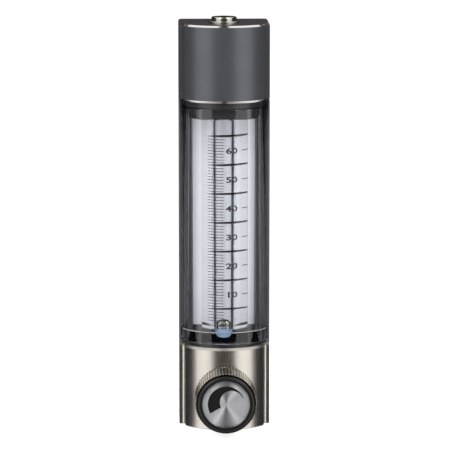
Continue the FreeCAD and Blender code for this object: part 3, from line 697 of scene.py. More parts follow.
def place_piece(
    piece: Piece, finish: Finish, body: Body, replaces: tuple[str, ...] = ()
) -> Piece:
    """Dress a new piece and let it ride on its body.

    Args:
        piece: the finished piece.
        finish: its finish.
        body: the body that it moves with.
        replaces: the CAD nodes that it stands for.

    Returns:
        The piece.
    """
    dress(piece, finish)
    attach(piece, body.value)
    if replaces:
        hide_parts(*replaces)
    LOG.info("%s: %d faces, body %s", piece.name, len(piece.data.polygons), body.value)
    return piece


def let_light_through(piece: Piece) -> None:
    """Let lamps light what lies behind a clear piece, which would cast a solid shadow."""
    piece.visible_shadow = False
    piece.visible_diffuse = False


def node_box(name: str) -> tuple[Vector, Vector]:
    """Return a CAD node's lowest and highest corner in millimetres."""
    low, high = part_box(name)
    return low / MM, high / MM


def run_nodes(piece: Piece, tree: Tree, inputs: dict[str, object]) -> Piece:
    """Run a Geometry Nodes tree on a piece and keep the result as a plain mesh.

    Args:
        piece: the piece that gets the modifier.
        tree: the node tree.
        inputs: for each named input its value.

    Returns:
        The same piece with its new mesh and no modifier.
    """
    modifier = piece.modifiers.new(tree.name, "NODES")
    modifier.node_group = tree
    sockets = {item.name: item.identifier for item in tree.interface.items_tree}
    for name, number in inputs.items():
        modifier[sockets[name]] = number
    depsgraph = bpy.context.evaluated_depsgraph_get()
    mesh = bpy.data.meshes.new_from_object(piece.evaluated_get(depsgraph))
    mesh.name = piece.name
    piece.modifiers.clear()
    piece.data = mesh
    return piece


def new_tree(name: str, inputs: dict[str, str]) -> tuple[Tree, bpy.types.Node]:
    """Start a Geometry Nodes tree.

    Args:
        name: the tree's name.
        inputs: for each named input its socket type.

    Returns:
        The tree and its group input node.
    """
    tree = bpy.data.node_groups.new(name, "GeometryNodeTree")
    tree.interface.new_socket("Geometry", in_out="INPUT", socket_type="NodeSocketGeometry")
    tree.interface.new_socket("Geometry", in_out="OUTPUT", socket_type="NodeSocketGeometry")
    for label, kind in inputs.items():
        tree.interface.new_socket(label, in_out="INPUT", socket_type=kind)
    return tree, add_node(tree, "NodeGroupInput")


def end_tree(tree: Tree, geometry: Socket, finish: Socket) -> None:
    """End a Geometry Nodes tree in real geometry with a material."""
    real = add_node(tree, "GeometryNodeRealizeInstances", {"Geometry": geometry})
    dressed = add_node(
        tree, "GeometryNodeSetMaterial", {"Geometry": real.outputs[0], "Material": finish}
    )
    add_node(tree, "NodeGroupOutput", {0: dressed.outputs[0]})


def row_tree() -> Tree:
    """Build the tree that repeats its geometry in a straight row.

    Returns:
        The tree, whose inputs are Count, Step and Finish.
    """
    tree, given = new_tree(
        "repeat_in_row",
        {"Count": "NodeSocketInt", "Step": "NodeSocketVector", "Finish": "NodeSocketMaterial"},
    )
    row = add_node(
        tree,
        "GeometryNodeMeshLine",
        {"Count": given.outputs["Count"], "Offset": given.outputs["Step"]},
        mode="OFFSET",
    )
    copies = add_node(
        tree,
        "GeometryNodeInstanceOnPoints",
        {"Points": row.outputs[0], "Instance": given.outputs["Geometry"]},
    )
    end_tree(tree, copies.outputs[0], given.outputs["Finish"])
    return tree


def flute_tree() -> Tree:
    """Build the tree that presses straight flutes into a turned knob.

    The flutes run along the knob's axis, which points along Y. A vertex attribute named flute
    says how far each row of the knob takes part.

    Returns:
        The tree, whose inputs are Count, Depth, Axis Height and Finish.
    """
    tree, given = new_tree(
        "press_flutes",
        {
            "Count": "NodeSocketFloat",
            "Depth": "NodeSocketFloat",
            "Axis Height": "NodeSocketFloat",
            "Finish": "NodeSocketMaterial",
        },
    )
    place = add_node(tree, "GeometryNodeInputPosition").outputs[0]
    parts = add_node(tree, "ShaderNodeSeparateXYZ", {0: place})
    rise = scalar(tree, "SUBTRACT", parts.outputs["Z"], given.outputs["Axis Height"])
    angle = scalar(tree, "ARCTAN2", rise, parts.outputs["X"])
    phase = scalar(tree, "MULTIPLY", angle, given.outputs["Count"])
    wave = scalar(tree, "COSINE", scalar(tree, "MULTIPLY", phase, 0.5))
    groove = scalar(tree, "ABSOLUTE", wave)
    taken = add_node(tree, "GeometryNodeInputNamedAttribute", {"Name": "flute"}, data_type="FLOAT")
    share = scalar(tree, "MULTIPLY", groove, taken.outputs[0])
    depth = scalar(tree, "MULTIPLY", share, given.outputs["Depth"])
    inward = scalar(tree, "MULTIPLY", depth, -1.0)
    arm = add_node(tree, "ShaderNodeCombineXYZ", {"X": parts.outputs["X"], "Z": rise})
    outward = vector(tree, "NORMALIZE", arm.outputs[0])
    offset = add_node(
        tree,
        "ShaderNodeVectorMath",
        {0: outward, "Scale": inward},
        operation="SCALE",
    )
    pressed = add_node(
        tree,
        "GeometryNodeSetPosition",
        {"Geometry": given.outputs["Geometry"], "Offset": offset.outputs[0]},
    )
    end_tree(tree, pressed.outputs[0], given.outputs["Finish"])
    return tree


# ---------------------------------------------------------------------------------------------
# Sub-assemblies
# ---------------------------------------------------------------------------------------------


@dataclass
class EndBlocks:
    """The two end blocks and the four screws that hold the channel to them."""

    shoulder_width: float = 2.0
    front_bulge: float = 0.3
    cheek_depth: float = 3.64
    corner_round: float = 1.1
    corner_foot: float = 0.3
    corner_head: float = 0.8
    corner_root: float = 0.05
    corner_steps: int = 12
    screw_head: float = 2.8
    screw_radius: float = 1.48
    screw_length: float = 9.0
    screw_spacing: float = 15.0
    socket_radius: float = 1.15
    socket_depth: float = 1.2

    def build(self, nodes: Nodes) -> None:
        """Dress the blocks and set the screws.

        Args:
            nodes: the CAD nodes.
        """
        dress(nodes["lower_block"], STAINLESS)
        dress(nodes["upper_block"], CHARCOAL_COAT)
        self.make_corner_beads()
        self.set_screws()

    def make_corner_beads(self) -> None:
        """Fill the lower block's two inner corners with the cutter's round."""
        low, high = node_box("lower_block")
        inner = high.x - self.shoulder_width
        face = -math.sqrt((high.x + self.front_bulge) ** 2 - inner**2) + self.cheek_depth
        radius = self.corner_round
        bm = bmesh.new()
        for side in (-1, 1):
            centre = (side * (inner + radius), face - radius)
            start, end = (90, 180) if side > 0 else (90, 0)
            section = arc_points(centre, radius, start, end, self.corner_steps)
            sunk, behind = side * (inner - self.corner_root), face + self.corner_root
            section += [(sunk, face - radius), (sunk, behind), (side * (inner + radius), behind)]
            heights = (low.z + self.corner_foot, high.z - self.corner_head)
            rings = [[bm.verts.new((x, y, z)) for x, y in section] for z in heights]
            for i in range(len(section)):
                j = (i + 1) % len(section)
                bm.faces.new((rings[0][i], rings[0][j], rings[1][j], rings[1][i]))
            for ring in rings:
                bm.faces.new(ring)
        bmesh.ops.triangulate(bm, faces=[face for face in bm.faces if len(face.verts) > 4])
        beads = finished_mesh("block_corner_rounds", bm)
        place_piece(beads, STAINLESS, Body.METER)

    def one_screw(self) -> Piece:
        """Make the lower left screw, with a round socket in its head, pointing into the block."""
        low, high = node_box("housing_screws")
        height, face = low.z + self.screw_head, high.y
        sink = self.screw_head - self.screw_radius
        profile = outline(
            [
                (0, 0, 0),
                (self.screw_radius, 0, 0.3),
                (self.screw_radius, self.screw_length - sink, 0),
                (self.screw_head, self.screw_length - 0.15, 0.1),
                (self.screw_head, self.screw_length, 0.1),
                (self.socket_radius + 0.1, self.screw_length, 0.1),
                (self.socket_radius, self.screw_length - self.socket_depth, 0),
                (0, self.screw_length - self.socket_depth, 0),
            ]
        )
        screw = turned("channel_screws", profile, Axis.FORWARD, height, columns=36)
        for vertex in screw.data.vertices:
            vertex.co.y = (face - self.screw_length) * MM - vertex.co.y
            vertex.co.x -= self.screw_spacing / 2 * MM
        screw.data.flip_normals()
        return screw

    def set_screws(self) -> None:
        """Repeat the screw across the channel, and then the pair at the other end."""
        low, high = node_box("housing_screws")
        tree = row_tree()
        screws = self.one_screw()
        rise = high.z - low.z - 2 * self.screw_head
        finish = BLACK_OXIDE.material()
        for step in ((self.screw_spacing * MM, 0, 0), (0, 0, rise * MM)):
            screws = run_nodes(screws, tree, {"Count": 2, "Step": step, "Finish": finish})
        place_piece(screws, BLACK_OXIDE, Body.METER, ("housing_screws",))


@dataclass
class Channel:
    """The drafted channel behind the window, its white plate and the two dark collars."""

    def build(self, nodes: Nodes) -> None:
        """Dress the channel's pieces.

        Args:
            nodes: the CAD nodes.
        """
        finishes = {
            "rear_housing": BLACK_ANODISE,
            "back_plate": WHITE_ENAMEL,
            "lower_collar": BLACK_ACETAL,
            "upper_collar": BLACK_ACETAL,
            "lower_gasket": SEAL_RUBBER,
            "upper_packing": SEAL_RUBBER,
        }
        for name, finish in finishes.items():
            dress(nodes[name], finish)
            LOG.info("%s: %s", name, finish.name)


@dataclass
class Shield:
    """The clear moulded cover: round outside, with a flat-backed lens over the tube."""

    wall: float = 2.0
    rim_step: float = 0.35
    rim_height: float = 4.1
    lens_thickness: float = 4.2
    edge: float = 0.2
    shoulder: float = 1.5
    # The edge_ settings place the painted highlight line on the rim's upper edge.
    edge_line: float = 0.28
    edge_reach: Point = (195.0, 345.0)
    edge_height: Point = (-0.12, 0.03)
    edge_inset: float = 0.02
    lens_side: Point = (1.1, 0.9)
    lens_gap: float = 1.5
    outer_steps: int = 120
    inner_steps: int = 24
    edge_steps: int = 60
    step_height: float = 0.05
    foot_round: tuple[Point, ...] = ((0.0, 0.2), (0.06, 0.06), (0.2, 0.0))
    rim_round: tuple[Point, ...] = ((-0.25, 0.0), (-0.08, 0.07), (0.0, 0.25))
    head_round: tuple[Point, ...] = ((-0.2, 0.0), (-0.06, 0.06), (0.0, 0.2))
    outer: float = field(init=False, default=0.0)

    def curve(self, radius: float, first: float, last: float, steps: int) -> list[Point]:
        """Return part of the cover's round, whose ends run straight back for a shoulder.

        Args:
            radius: the half width, which is also the reach to the front.
            first: the angle of the first point, in degrees.
            last: the angle of the last point.
            steps: the number of parts.

        Returns:
            The points in order.
        """
        depth = radius - self.shoulder
        return [
            (x, -self.shoulder + y * depth / radius)
            for x, y in arc_points((0, 0), radius, first, last, steps)
        ]

    def section(self, outer: float, skirt: float) -> list[Point]:
        """Return the cover's section for one outer radius.

        Args:
            outer: the outer radius.
            skirt: how far the straight sides reach behind the tube's axis.

        Returns:
            The section's points, with the same number for every outer radius.
        """
        bore = self.outer - self.wall
        flat = self.outer - self.lens_thickness
        sine = (flat - self.shoulder) / (bore - self.shoulder)
        lens = bore * math.sqrt(1 - sine**2)
        reach = math.degrees(math.asin(sine))
        side = (lens * self.lens_side[0], -flat * self.lens_side[1])
        steps, gap = self.inner_steps, self.lens_gap
        points = self.curve(outer, 180, 360, self.outer_steps)
        points += rounded_corner((outer, 0), (outer, skirt), (bore, skirt), self.edge)
        points += rounded_corner((outer, skirt), (bore, skirt), (bore, 0), self.edge)
        points += self.curve(bore, 0, -reach + gap, steps)
        points += rounded_corner(side, (lens, -flat), (0, -flat), self.edge)
        points += rounded_corner((0, -flat), (-lens, -flat), (-side[0], side[1]), self.edge)
        points += self.curve(bore, 180 + reach - gap, 180, steps)
        points += rounded_corner((-bore, 0), (-bore, skirt), (-outer, skirt), self.edge)
        points += rounded_corner((-bore, skirt), (-outer, skirt), (-outer, 0), self.edge)
        return points

    def rounded_levels(
        self, height: float, outer: float, rounding: tuple[Point, ...], skirt: float
    ) -> list[tuple[float, list[Point]]]:
        """Return the levels that round one of the cover's edges off.

        Args:
            height: the edge's height.
            outer: the outer radius before the rounding.
            rounding: for each level its rise from the edge and how far it draws in.
            skirt: how far the straight sides reach behind the tube's axis.

        Returns:
            For each level its height and section.
        """
        return [(height + rise, self.section(outer - inset, skirt)) for rise, inset in rounding]

    def build(self) -> None:
        """Make the cover in the CAD solid's place."""
        low, high = node_box("front_shield")
        rim, skirt = high.x, high.y
        self.outer = rim - self.rim_step
        base, top, rim_top = low.z, high.z, low.z + self.rim_height
        levels = self.rounded_levels(base, rim, self.foot_round, skirt)
        levels += self.rounded_levels(rim_top, rim, self.rim_round, skirt)
        levels.append((rim_top + self.step_height, self.section(self.outer, skirt)))
        levels += self.rounded_levels(top, self.outer, self.head_round, skirt)
        shield = stacked("window_shield", levels, sharp_angle=GLASS_SHARP_ANGLE)
        place_piece(shield, CLEAR_ACRYLIC, Body.METER, ("front_shield",))
        let_light_through(shield)
        self.make_rim_edge(rim, rim_top)

    def make_rim_edge(self, rim: float, rim_top: float) -> None:
        """Lay a painted highlight, a pale opaque line, along the rim's upper edge.

        Args:
            rim: the rim's half width.
            rim_top: the height of the rim's upper edge.
        """
        inner = rim - self.edge_line
        start, end = self.edge_reach
        ring = self.curve(rim - self.edge_inset, start, end, self.edge_steps)
        ring += self.curve(inner, end, start, self.edge_steps)
        levels = [(rim_top + rise, ring) for rise in self.edge_height]
        edge = stacked("shield_rim_painted_highlight", levels)
        place_piece(edge, PAINTED_RIM_HIGHLIGHT, Body.METER)


@dataclass
class MeteringTube:
    """The glass tube with its tapered bore, the ball inside it and the two stops."""

    foot_bevel: float = 1.3
    seat_radius: float = 1.95
    seat_depth: float = 0.9
    head_bevel: float = 0.6
    bore_foot: float = 1.675
    bore_head: float = 1.875
    socket_radius: float = 2.5
    socket_depth: float = 4.4
    flare: float = 1.4
    ball_radius: float = 1.5875

    def build(self, nodes: Nodes) -> None:
        """Make the glass and the ball, and dress the stops.

        Args:
            nodes: the CAD nodes.
        """
        low, high = node_box("metering_tube")
        radius, base, top = high.x, low.z, high.z
        foot = base - self.seat_depth
        socket = top - self.socket_depth
        profile = outline(
            [
                (self.bore_foot, base + 0.02, 0),
                (self.seat_radius, base + 0.02, 0),
                (self.seat_radius, foot, 0.1),
                (radius - self.foot_bevel, foot, 0.2),
                (radius, foot + self.foot_bevel, 0.3),
                (radius, top - self.head_bevel, 0.2),
                (radius - self.head_bevel, top, 0.2),
                (self.socket_radius, top, 0.1),
                (self.socket_radius, socket, 0.2),
                (self.bore_head, socket - self.flare, 0.3),
            ]
        )
        tube = turned("glass_tube", profile, columns=160, sharp_angle=GLASS_SHARP_ANGLE)
        place_piece(tube, BOROSILICATE, Body.METER, ("metering_tube",))
        let_light_through(tube)
        self.make_ball()
        for name in ("lower_float_stop", "upper_float_stop"):
            dress(nodes[name], BLUE_FLUOROPOLYMER)

    def make_ball(self) -> None:
        """Make the ball float, which rides up the tube."""
        low, high = node_box("float_ball")
        middle = (low.z + high.z) / 2
        profile = [(x, middle + z) for x, z in arc_points((0, 0), self.ball_radius, -90, 90, 32)]
        profile[0], profile[-1] = (0.0, profile[0][1]), (0.0, profile[-1][1])
        ball = turned("ball_float", profile, columns=64)
        place_piece(ball, LAPPED_STEEL, Body.FLOAT, ("float_ball",))


@dataclass
class TubeScale:
    """The graduation fired on the front of the tube: 65 units of nearly one millimetre."""

    zero: float = 35.75
    unit: float = 0.989
    units: int = 65
    line: float = 0.23
    thickness: float = 0.04
    tick_angles: Point = (-43.0, -2.0)
    ring_angles: Point = (-43.0, 87.0)
    right_angles: Point = (46.0, 87.0)
    edge_angles: Point = (72.0, 88.0)
    number_angle: float = 18.5
    number_height: float = 1.95
    number_width: float = 1.25
    number_weight: float = 0.075
    ring_share: float = 0.9
    ten_share: float = 1.2
    edge_below: float = 1.0
    edge_above: float = 2.5
    lift: float = 0.01
    letter_share: float = 1.38
    longest_edge: float = 0.5
    radius: float = field(init=False, default=0.0)
    tree: Tree | None = field(init=False, default=None)

    def strip(self, name: str, angles: Point, low: float, high: float) -> Piece:
        """Make one line of the scale, bent round the tube's front.

        Args:
            name: the piece's name.
            angles: where the line starts and ends, in degrees from the front to the right.
            low: the height of its lower edge.
            high: the height of its upper edge.

        Returns:
            The new object.
        """
        inner = self.radius + self.lift
        outer = inner + self.thickness
        steps = max(4, round((angles[1] - angles[0]) / 5))
        first, last = angles[0] - 90, angles[1] - 90
        section = arc_points((0, 0), outer, first, last, steps)
        section += arc_points((0, 0), inner, last, first, steps)
        return stacked(name, [(low, section), (high, section)])

    def row(self, name: str, angles: Point, first: int, step: int, width: float) -> None:
        """Make a row of equal lines up the tube.

        Args:
            name: the piece's name.
            angles: where the lines start and end.
            first: the unit of the first line.
            step: the units from each line to the next.
            width: the lines' width.
        """
        middle = self.zero + first * self.unit
        line = self.strip(name, angles, middle - width / 2, middle + width / 2)
        count = (self.units - first) // step + 1
        inputs = {"Count": count, "Step": (0, 0, step * self.unit * MM)}
        inputs["Finish"] = CERAMIC_INK.material()
        row = run_nodes(line, self.tree, inputs)
        place_piece(row, CERAMIC_INK, Body.METER)

    def number(self, unit: int) -> Piece:
        """Make one number, bent round the tube's front.

        Args:
            unit: the number and its place on the scale.

        Returns:
            The new object.
        """
        text = bpy.data.curves.new(f"scale_number_{unit}", "FONT")
        text.body = str(unit)
        text.align_x, text.align_y = "CENTER", "CENTER"
        text.size = self.number_height * self.letter_share
        text.extrude = self.thickness / 2
        text.offset = self.number_weight
        text.resolution_u = 3
        drawn = bpy.data.objects.new(text.name, text)
        bpy.context.scene.collection.objects.link(drawn)
        depsgraph = bpy.context.evaluated_depsgraph_get()
        flat = bpy.data.meshes.new_from_object(drawn.evaluated_get(depsgraph))
        bpy.data.objects.remove(drawn)
        bm = bmesh.new()
        bm.from_mesh(flat)
        bpy.data.meshes.remove(flat)
        long_edges = [edge for edge in bm.edges if edge.calc_length() > self.longest_edge]
        bmesh.ops.subdivide_edges(bm, edges=long_edges, cuts=3)
        bmesh.ops.triangulate(bm, faces=bm.faces)
        middle = math.radians(self.number_angle)
        for vertex in bm.verts:
            across, up, out = vertex.co
            angle = middle + across * self.number_width / self.radius
            reach = self.radius + self.lift + self.thickness / 2 + out
            height = self.zero + unit * self.unit + up
            vertex.co = (reach * math.sin(angle), -reach * math.cos(angle), height)
        return finished_mesh(f"scale_number_{unit}", bm)

    def build(self) -> None:
        """Print the lines and the numbers."""
        self.radius = node_box("metering_tube")[1].x
        self.tree = bpy.data.node_groups["repeat_in_row"]
        self.row("scale_unit_ticks", self.tick_angles, 1, 1, self.line)
        self.row("scale_five_rings", self.ring_angles, 5, 10, self.line * self.ring_share)
        self.row("scale_ten_ticks", self.tick_angles, 10, 10, self.line * self.ten_share)
        self.row("scale_ten_marks", self.right_angles, 10, 10, self.line * self.ten_share)
        low = self.zero - self.edge_below
        high = self.zero + self.units * self.unit + self.edge_above
        edge = self.strip("scale_edge_line", self.edge_angles, low, high)
        place_piece(edge, CERAMIC_INK, Body.METER)
        for unit in range(10, self.units, 10):
            place_piece(self.number(unit), CERAMIC_INK, Body.METER)


@dataclass
class Clamp:
    """The clamp screw, its gland nut and the spindle that press the tube down."""

    def build(self, nodes: Nodes) -> None:
        """Dress the clamp's pieces.

        Args:
            nodes: the CAD nodes.
        """
        for name in ("clamp_screw", "gland_nut", "clamp_spindle"):
            dress(nodes[name], TURNED_STEEL)
        dress(nodes["spindle_o_ring"], SEAL_RUBBER)


@dataclass
class NeedleValve:
    """The seat, bonnet, stem and seals of the needle valve."""

    def build(self, nodes: Nodes) -> None:
        """Dress the valve's pieces.

        Args:
            nodes: the CAD nodes.
        """
        for name in ("valve_bonnet", "valve_stem"):
            dress(nodes[name], TURNED_STEEL)
        for name in ("bonnet_o_ring", "stem_o_ring"):
            dress(nodes[name], SEAL_RUBBER)
        dress(nodes["valve_seat"], SEAT_POLYMER)


@dataclass
class Knob:
    """The fluted knob with its black rim, spun face and crescent mark."""

    flutes: int = 62
    flute_depth: float = 0.6
    inset: float = 0.0
    front_bevel: float = 0.35
    back_bevel: Point = (0.35, 0.4)
    skin: float = 0.1
    flute_rows: int = 8
    columns_per_flute: int = 8
    wall: float = 1.9
    recess: float = 6.4
    hub_radius: float = 4.4
    hub_setback: float = 2.6
    stem_radius: float = 2.52
    dish: float = 0.25
    dish_rows: int = 24
    face_round: float = 0.12
    crescent_outer: float = 6.2
    crescent_inner: float = 4.0
    crescent_tail: float = 0.22
    crescent_lean: float = 21.0
    crescent_cut: float = 210.0
    crescent_steps: int = 64
    crescent_layers: Point = (0.01, 0.03)
    height: float = field(init=False, default=0.0)
    radius: float = field(init=False, default=0.0)
    back: float = field(init=False, default=0.0)
    crown: float = field(init=False, default=0.0)
    face_front: float = field(init=False, default=0.0)
    face_radius: float = field(init=False, default=0.0)

    def build(self, nodes: Nodes) -> None:
        """Make the knob's body and face, and dress its ring and screw.

        Args:
            nodes: the CAD nodes.
        """
        low, high = node_box("knob_body")
        self.height = (low.z + high.z) / 2
        self.radius = (high.z - low.z) / 2
        self.back, self.crown = -high.y, -low.y
        self.make_body()
        self.make_face()
        self.make_crescent()
        dress(nodes["knob_rim"], BLACK_ENAMEL)
        dress(nodes["knob_set_screw"], BLACK_OXIDE)

    def make_body(self) -> None:
        """Turn the body and press its flutes."""
        outer = self.radius - self.inset
        front = outer - self.skin
        seat = -node_box("knob_face")[1].y
        bore_end = -node_box("valve_stem")[0].y + 0.1
        back, crown = self.back, self.crown
        inner = front - self.wall
        rows = [
            (inner, back, 0),
            (outer - self.back_bevel[0], back, 0),
            (outer, back + self.back_bevel[1], 1),
        ]
        for step in range(1, self.flute_rows):
            rows.append((outer, back + (crown - back) * step / self.flute_rows, 1))
        rows += [
            (outer, crown - self.front_bevel, 1),
            (outer - self.front_bevel, crown, 0),
            (inner, crown, 0),
            (inner, seat, 0),
            (0, seat, 0),
            (0, bore_end, 0),
            (self.stem_radius, bore_end, 0),
            (self.stem_radius, back + self.hub_setback, 0),
            (self.hub_radius, back + self.hub_setback, 0),
            (self.hub_radius, back + self.recess, 0),
            (inner, back + self.recess, 0),
        ]
        profile = [(radius, along) for radius, along, _ in rows]
        columns = self.flutes * self.columns_per_flute
        knob = turned("fluted_knob", profile, Axis.FORWARD, self.height, columns, 40)
        weights = knob.data.attributes.new("flute", "FLOAT", "POINT")
        fluted = [along for radius, along, part in rows if part]
        for index, vertex in enumerate(knob.data.vertices):
            along = -vertex.co.y / MM
            arm = math.hypot(vertex.co.x / MM, vertex.co.z / MM - self.height)
            outside = arm > front - self.skin
            inside_rows = fluted[0] - 0.01 <= along <= fluted[-1] + 0.01
            weights.data[index].value = 1.0 if outside and inside_rows else 0.0
        run_nodes(
            knob,
            flute_tree(),
            {
                "Count": float(self.flutes),
                "Depth": self.flute_depth * MM,
                "Axis Height": self.height * MM,
                "Finish": BRIGHT_ALUMINIUM.material(),
            },
        )
        place_piece(knob, BRIGHT_ALUMINIUM, Body.KNOB, ("knob_body",))

    def make_face(self) -> None:
        """Turn the dished face."""
        low, high = node_box("knob_face")
        radius, back, front = high.x, -high.y, -low.y
        self.face_front, self.face_radius = front, radius
        rows = [(0.0, back), (radius, back)]
        rows += rounded_corner((radius, back), (radius, front), (0, front), self.face_round)
        for row in range(1, self.dish_rows):
            share = row / self.dish_rows
            rows.append((radius * (1 - share), front - self.dish * share))
        rows.append((0.0, front - self.dish))
        face = turned("spun_face", rows, Axis.FORWARD, self.height, 128)
        place_piece(face, SPUN_ALUMINIUM, Body.KNOB, ("knob_face",))

    def make_crescent(self) -> None:
        """Lay the black crescent, which widens the way the flow grows, on the dished face."""
        lean = math.radians(self.crescent_lean)
        offset = self.crescent_outer - self.crescent_inner - self.crescent_tail
        middle = Vector((offset * math.cos(lean), offset * math.sin(lean)))
        cut = math.radians(self.crescent_cut)
        steps = self.crescent_steps
        bm = bmesh.new()
        rings = []
        for step in range(steps + 1):
            angle = lean + (cut - lean) * step / steps
            ray = Vector((math.cos(angle), math.sin(angle)))
            along = ray.dot(middle)
            inner = along + math.sqrt(along**2 - middle.length_squared + self.crescent_inner**2)
            ring = []
            for share in (0, 0.25, 0.5, 0.75, 1):
                reach = inner + (self.crescent_outer - inner) * share
                ring.append((ray.x * reach, ray.y * reach, reach))
            rings.append(ring)
        grid = []
        for layer in self.crescent_layers:
            rows = []
            for ring in rings:
                row = []
                for x, y, reach in ring:
                    depth = self.dish * (1 - reach / self.face_radius)
                    forward = self.face_front - depth + layer
                    row.append(bm.verts.new((x, -forward, y + self.height)))
                rows.append(row)
            grid.append(rows)
        for rows in grid:
            for i in range(steps):
                for j in range(4):
                    bm.faces.new((rows[i][j], rows[i + 1][j], rows[i + 1][j + 1], rows[i][j + 1]))
        lower, upper = grid
        for i in range(steps):
            for j in (0, 4):
                bm.faces.new((lower[i][j], lower[i + 1][j], upper[i + 1][j], upper[i][j]))
        for i in (0, steps):
            for j in range(4):
                bm.faces.new((lower[i][j], lower[i][j + 1], upper[i][j + 1], upper[i][j]))
        mark = finished_mesh("crescent_mark", bm)
        place_piece(mark, BLACK_ENAMEL, Body.KNOB)


# ---------------------------------------------------------------------------------------------
# Studio
# ---------------------------------------------------------------------------------------------


@dataclass(frozen=True)
class SoftBox:
    """One soft box: its place round the meter, its size in metres and its power in watts.

    The azimuth runs from the front to the right and the elevation up from the horizon, both in
    degrees. Gloss shows the box only where it is mirrored.
    """

    name: str
    azimuth: float
    elevation: float
    size: Point
    power: float
    mirrored: bool = True


@dataclass(frozen=True)
class Card:
    """One curved felt card, between two azimuths in degrees and two heights in metres."""

    name: str
    first: float
    last: float
    low: float
    high: float
    colour: str


@dataclass
class Studio:
    """The camera, the soft boxes, the dark cards and the pale floor."""

    distance: float = 1.0228
    camera_height: float = 0.2203
    side_step: float = 0.00034
    pitch: float = 8.41
    turn: float = 1.3
    lens: float = 239.1
    floor_colour: str = "#f6f6f7"
    floor_glow: float = 0.62
    ambient: float = 0.45
    lamp_reach: float = 0.9
    middle: float = 0.07
    soft_boxes: tuple[SoftBox, ...] = (
        SoftBox("softbox_left", -54.0, 0.0, (0.76, 1.5), 5.5),
        SoftBox("softbox_right", 51.0, 0.0, (0.76, 1.5), 5.5),
        SoftBox("softbox_high_left", -38.0, 32.0, (0.34, 0.34), 2.0),
        SoftBox("softbox_high_right", 38.0, 32.0, (0.34, 0.34), 2.0),
        SoftBox("fill_front", 0.0, 24.0, (0.7, 0.5), 1.5, mirrored=False),
    )
    cards: tuple[Card, ...] = (
        Card("card_front", -40.0, 40.0, -0.8, 1.0, "#383838"),
        Card("card_left", -145.0, -40.0, -0.8, 1.0, "#2a2828"),
        Card("card_right", 40.0, 145.0, -0.8, 1.0, "#2a2828"),
        Card("card_back", 145.0, 215.0, 0.0, 1.0, "#4a3d39"),
    )
    strips: tuple[tuple[str, float], ...] = (("strip_above", 1.0), ("strip_below", -0.8))
    strip_colour: str = "#101010"
    strip_half: float = 0.1
    strip_reach: float = 1.0
    card_radius: float = 1.1
    card_steps: int = 24

    def build(self) -> None:
        """Make the camera, the world, the floor, the lights and the cards."""
        self.make_camera()
        self.make_world()
        self.make_floor()
        for soft_box in self.soft_boxes:
            self.hang_soft_box(soft_box)
        for card in self.cards:
            self.stand_card(card)
        for name, height in self.strips:
            self.make_strip(name, height)

    def make_camera(self) -> None:
        """Set the camera a little to the left of the meter's front and above it."""
        data = bpy.data.cameras.new("camera")
        data.lens = self.lens
        data.clip_start = 0.05
        camera = bpy.data.objects.new("camera", data)
        turn = math.radians(self.turn)
        camera.location = (
            self.side_step - math.sin(turn) * self.distance,
            -math.cos(turn) * self.distance,
            self.camera_height,
        )
        camera.rotation_euler = Euler((math.radians(90 - self.pitch), 0, -turn))
        bpy.context.scene.collection.objects.link(camera)
        bpy.context.scene.camera = camera
        bpy.context.scene.view_settings.view_transform = "Standard"

    def make_world(self) -> None:
        """Give a white background to sight, gloss and glass, and a plain fill to the rest."""
        world = bpy.data.worlds.new("studio")
        bpy.context.scene.world = world
        world.use_nodes = True
        tree = world.node_tree
        tree.nodes.clear()
        path = add_node(tree, "ShaderNodeLightPath")
        seen = add_node(
            tree,
            "ShaderNodeMath",
            {0: path.outputs["Is Camera Ray"], 1: path.outputs["Is Glossy Ray"]},
            operation="MAXIMUM",
        )
        clear = add_node(
            tree,
            "ShaderNodeMath",
            {0: seen.outputs[0], 1: path.outputs["Is Transmission Ray"]},
            operation="MAXIMUM",
        )
        strength = add_node(
            tree,
            "ShaderNodeMapRange",
            {"Value": clear.outputs[0], "To Min": self.ambient, "To Max": 1.0},
        )
        back = add_node(tree, "ShaderNodeBackground", {"Strength": strength.outputs[0]})
        back.inputs["Color"].default_value = linear("#ffffff")
        add_node(tree, "ShaderNodeOutputWorld", {"Surface": back.outputs[0]})

    def stage_object(self, name: str, bm: BMesh) -> Piece:
        """Link a stage mesh, which is given in metres."""
        mesh = bpy.data.meshes.new(name)
        bm.to_mesh(mesh)
        bm.free()
        thing = bpy.data.objects.new(name, mesh)
        bpy.context.scene.collection.objects.link(thing)
        return thing

    def make_floor(self) -> None:
        """Lay the pale floor, which keeps a faint shadow."""
        bm = bmesh.new()
        bmesh.ops.create_grid(bm, x_segments=1, y_segments=1, size=4.0)
        floor = self.stage_object("floor", bm)
        paint = bpy.data.materials.new("matt_white_floor")
        paint.use_nodes = True
        tree = paint.node_tree
        tree.nodes.clear()
        shader = add_node(
            tree,
            "ShaderNodeBsdfPrincipled",
            {
                "Base Color": linear(self.floor_colour),
                "Roughness": 0.9,
                "Specular IOR Level": 0.2,
                "Emission Color": (1.0, 1.0, 1.0, 1.0),
                "Emission Strength": self.floor_glow,
            },
        )
        add_node(tree, "ShaderNodeOutputMaterial", {"Surface": shader.outputs[0]})
        floor.data.materials.append(paint)
        floor.visible_glossy = False
        floor.visible_transmission = False

    def hang_soft_box(self, box: SoftBox) -> None:
        """Hang one soft box round the meter, facing it.

        Args:
            box: the soft box.
        """
        data = bpy.data.lights.new(box.name, "AREA")
        data.shape = "RECTANGLE"
        data.size, data.size_y = box.size
        data.energy = box.power
        lamp = bpy.data.objects.new(box.name, data)
        turn, lift = math.radians(box.azimuth), math.radians(box.elevation)
        away = Vector(
            (math.sin(turn) * math.cos(lift), -math.cos(turn) * math.cos(lift), math.sin(lift))
        )
        lamp.location = away * self.lamp_reach + Vector((0, 0, self.middle))
        lamp.rotation_euler = away.to_track_quat("Z", "Y").to_euler()
        lamp.visible_camera = False
        lamp.visible_glossy = box.mirrored
        bpy.context.scene.collection.objects.link(lamp)

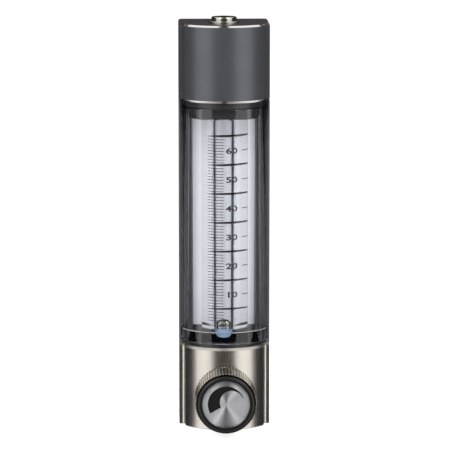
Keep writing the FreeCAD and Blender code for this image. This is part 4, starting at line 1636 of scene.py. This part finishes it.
    def make_strip(self, name: str, height: float) -> None:
        """Hang a narrow dark strip across the middle, over or under the meter.

        Args:
            name: the strip's name.
            height: its height in metres.
        """
        bm = bmesh.new()
        half, reach = self.strip_half, self.strip_reach
        corner = [(-half, -reach), (half, -reach), (half, reach), (-half, reach)]
        bm.faces.new([bm.verts.new((x, y, height)) for x, y in corner])
        self.felt(self.stage_object(name, bm), self.strip_colour)

    def felt(self, card: Piece, colour: str) -> None:
        """Cover a card with felt and let only gloss and clear pieces see it.

        Args:
            card: the stage object.
            colour: the felt's colour.
        """
        cloth = bpy.data.materials.new(f"{card.name}_felt")
        cloth.use_nodes = True
        shader = cloth.node_tree.nodes["Principled BSDF"]
        shader.inputs["Base Color"].default_value = linear(colour)
        shader.inputs["Roughness"].default_value = 0.95
        shader.inputs["Specular IOR Level"].default_value = 0.1
        card.data.materials.append(cloth)
        card.visible_camera = False
        card.visible_diffuse = False
        card.visible_shadow = False

    def stand_card(self, card: Card) -> None:
        """Stand a curved dark card that only gloss and clear pieces see.

        Args:
            card: the card.
        """
        bm = bmesh.new()
        steps = self.card_steps
        lower, upper = [], []
        for x, y in arc_points((0, 0), self.card_radius, card.first - 90, card.last - 90, steps):
            lower.append(bm.verts.new((x, y, card.low)))
            upper.append(bm.verts.new((x, y, card.high)))
        for i in range(steps):
            bm.faces.new((lower[i], lower[i + 1], upper[i + 1], upper[i]))
        self.felt(self.stage_object(card.name, bm), card.colour)


def corners(box: tuple[Vector, Vector]) -> list[list[float]]:
    """Return a box's two corners as plain numbers."""
    return [[float(c) for c in corner] for corner in box]


def main() -> None:
    """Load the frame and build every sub-assembly."""
    logging.basicConfig(level=logging.INFO, format="%(name)s %(message)s")
    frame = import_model()
    nodes = frame["nodes"]
    Studio().build()
    EndBlocks().build(nodes)
    Channel().build(nodes)
    Shield().build()
    MeteringTube().build(nodes)
    TubeScale().build()
    Clamp().build(nodes)
    NeedleValve().build(nodes)
    Knob().build(nodes)


if __name__ == "__main__":
    main()
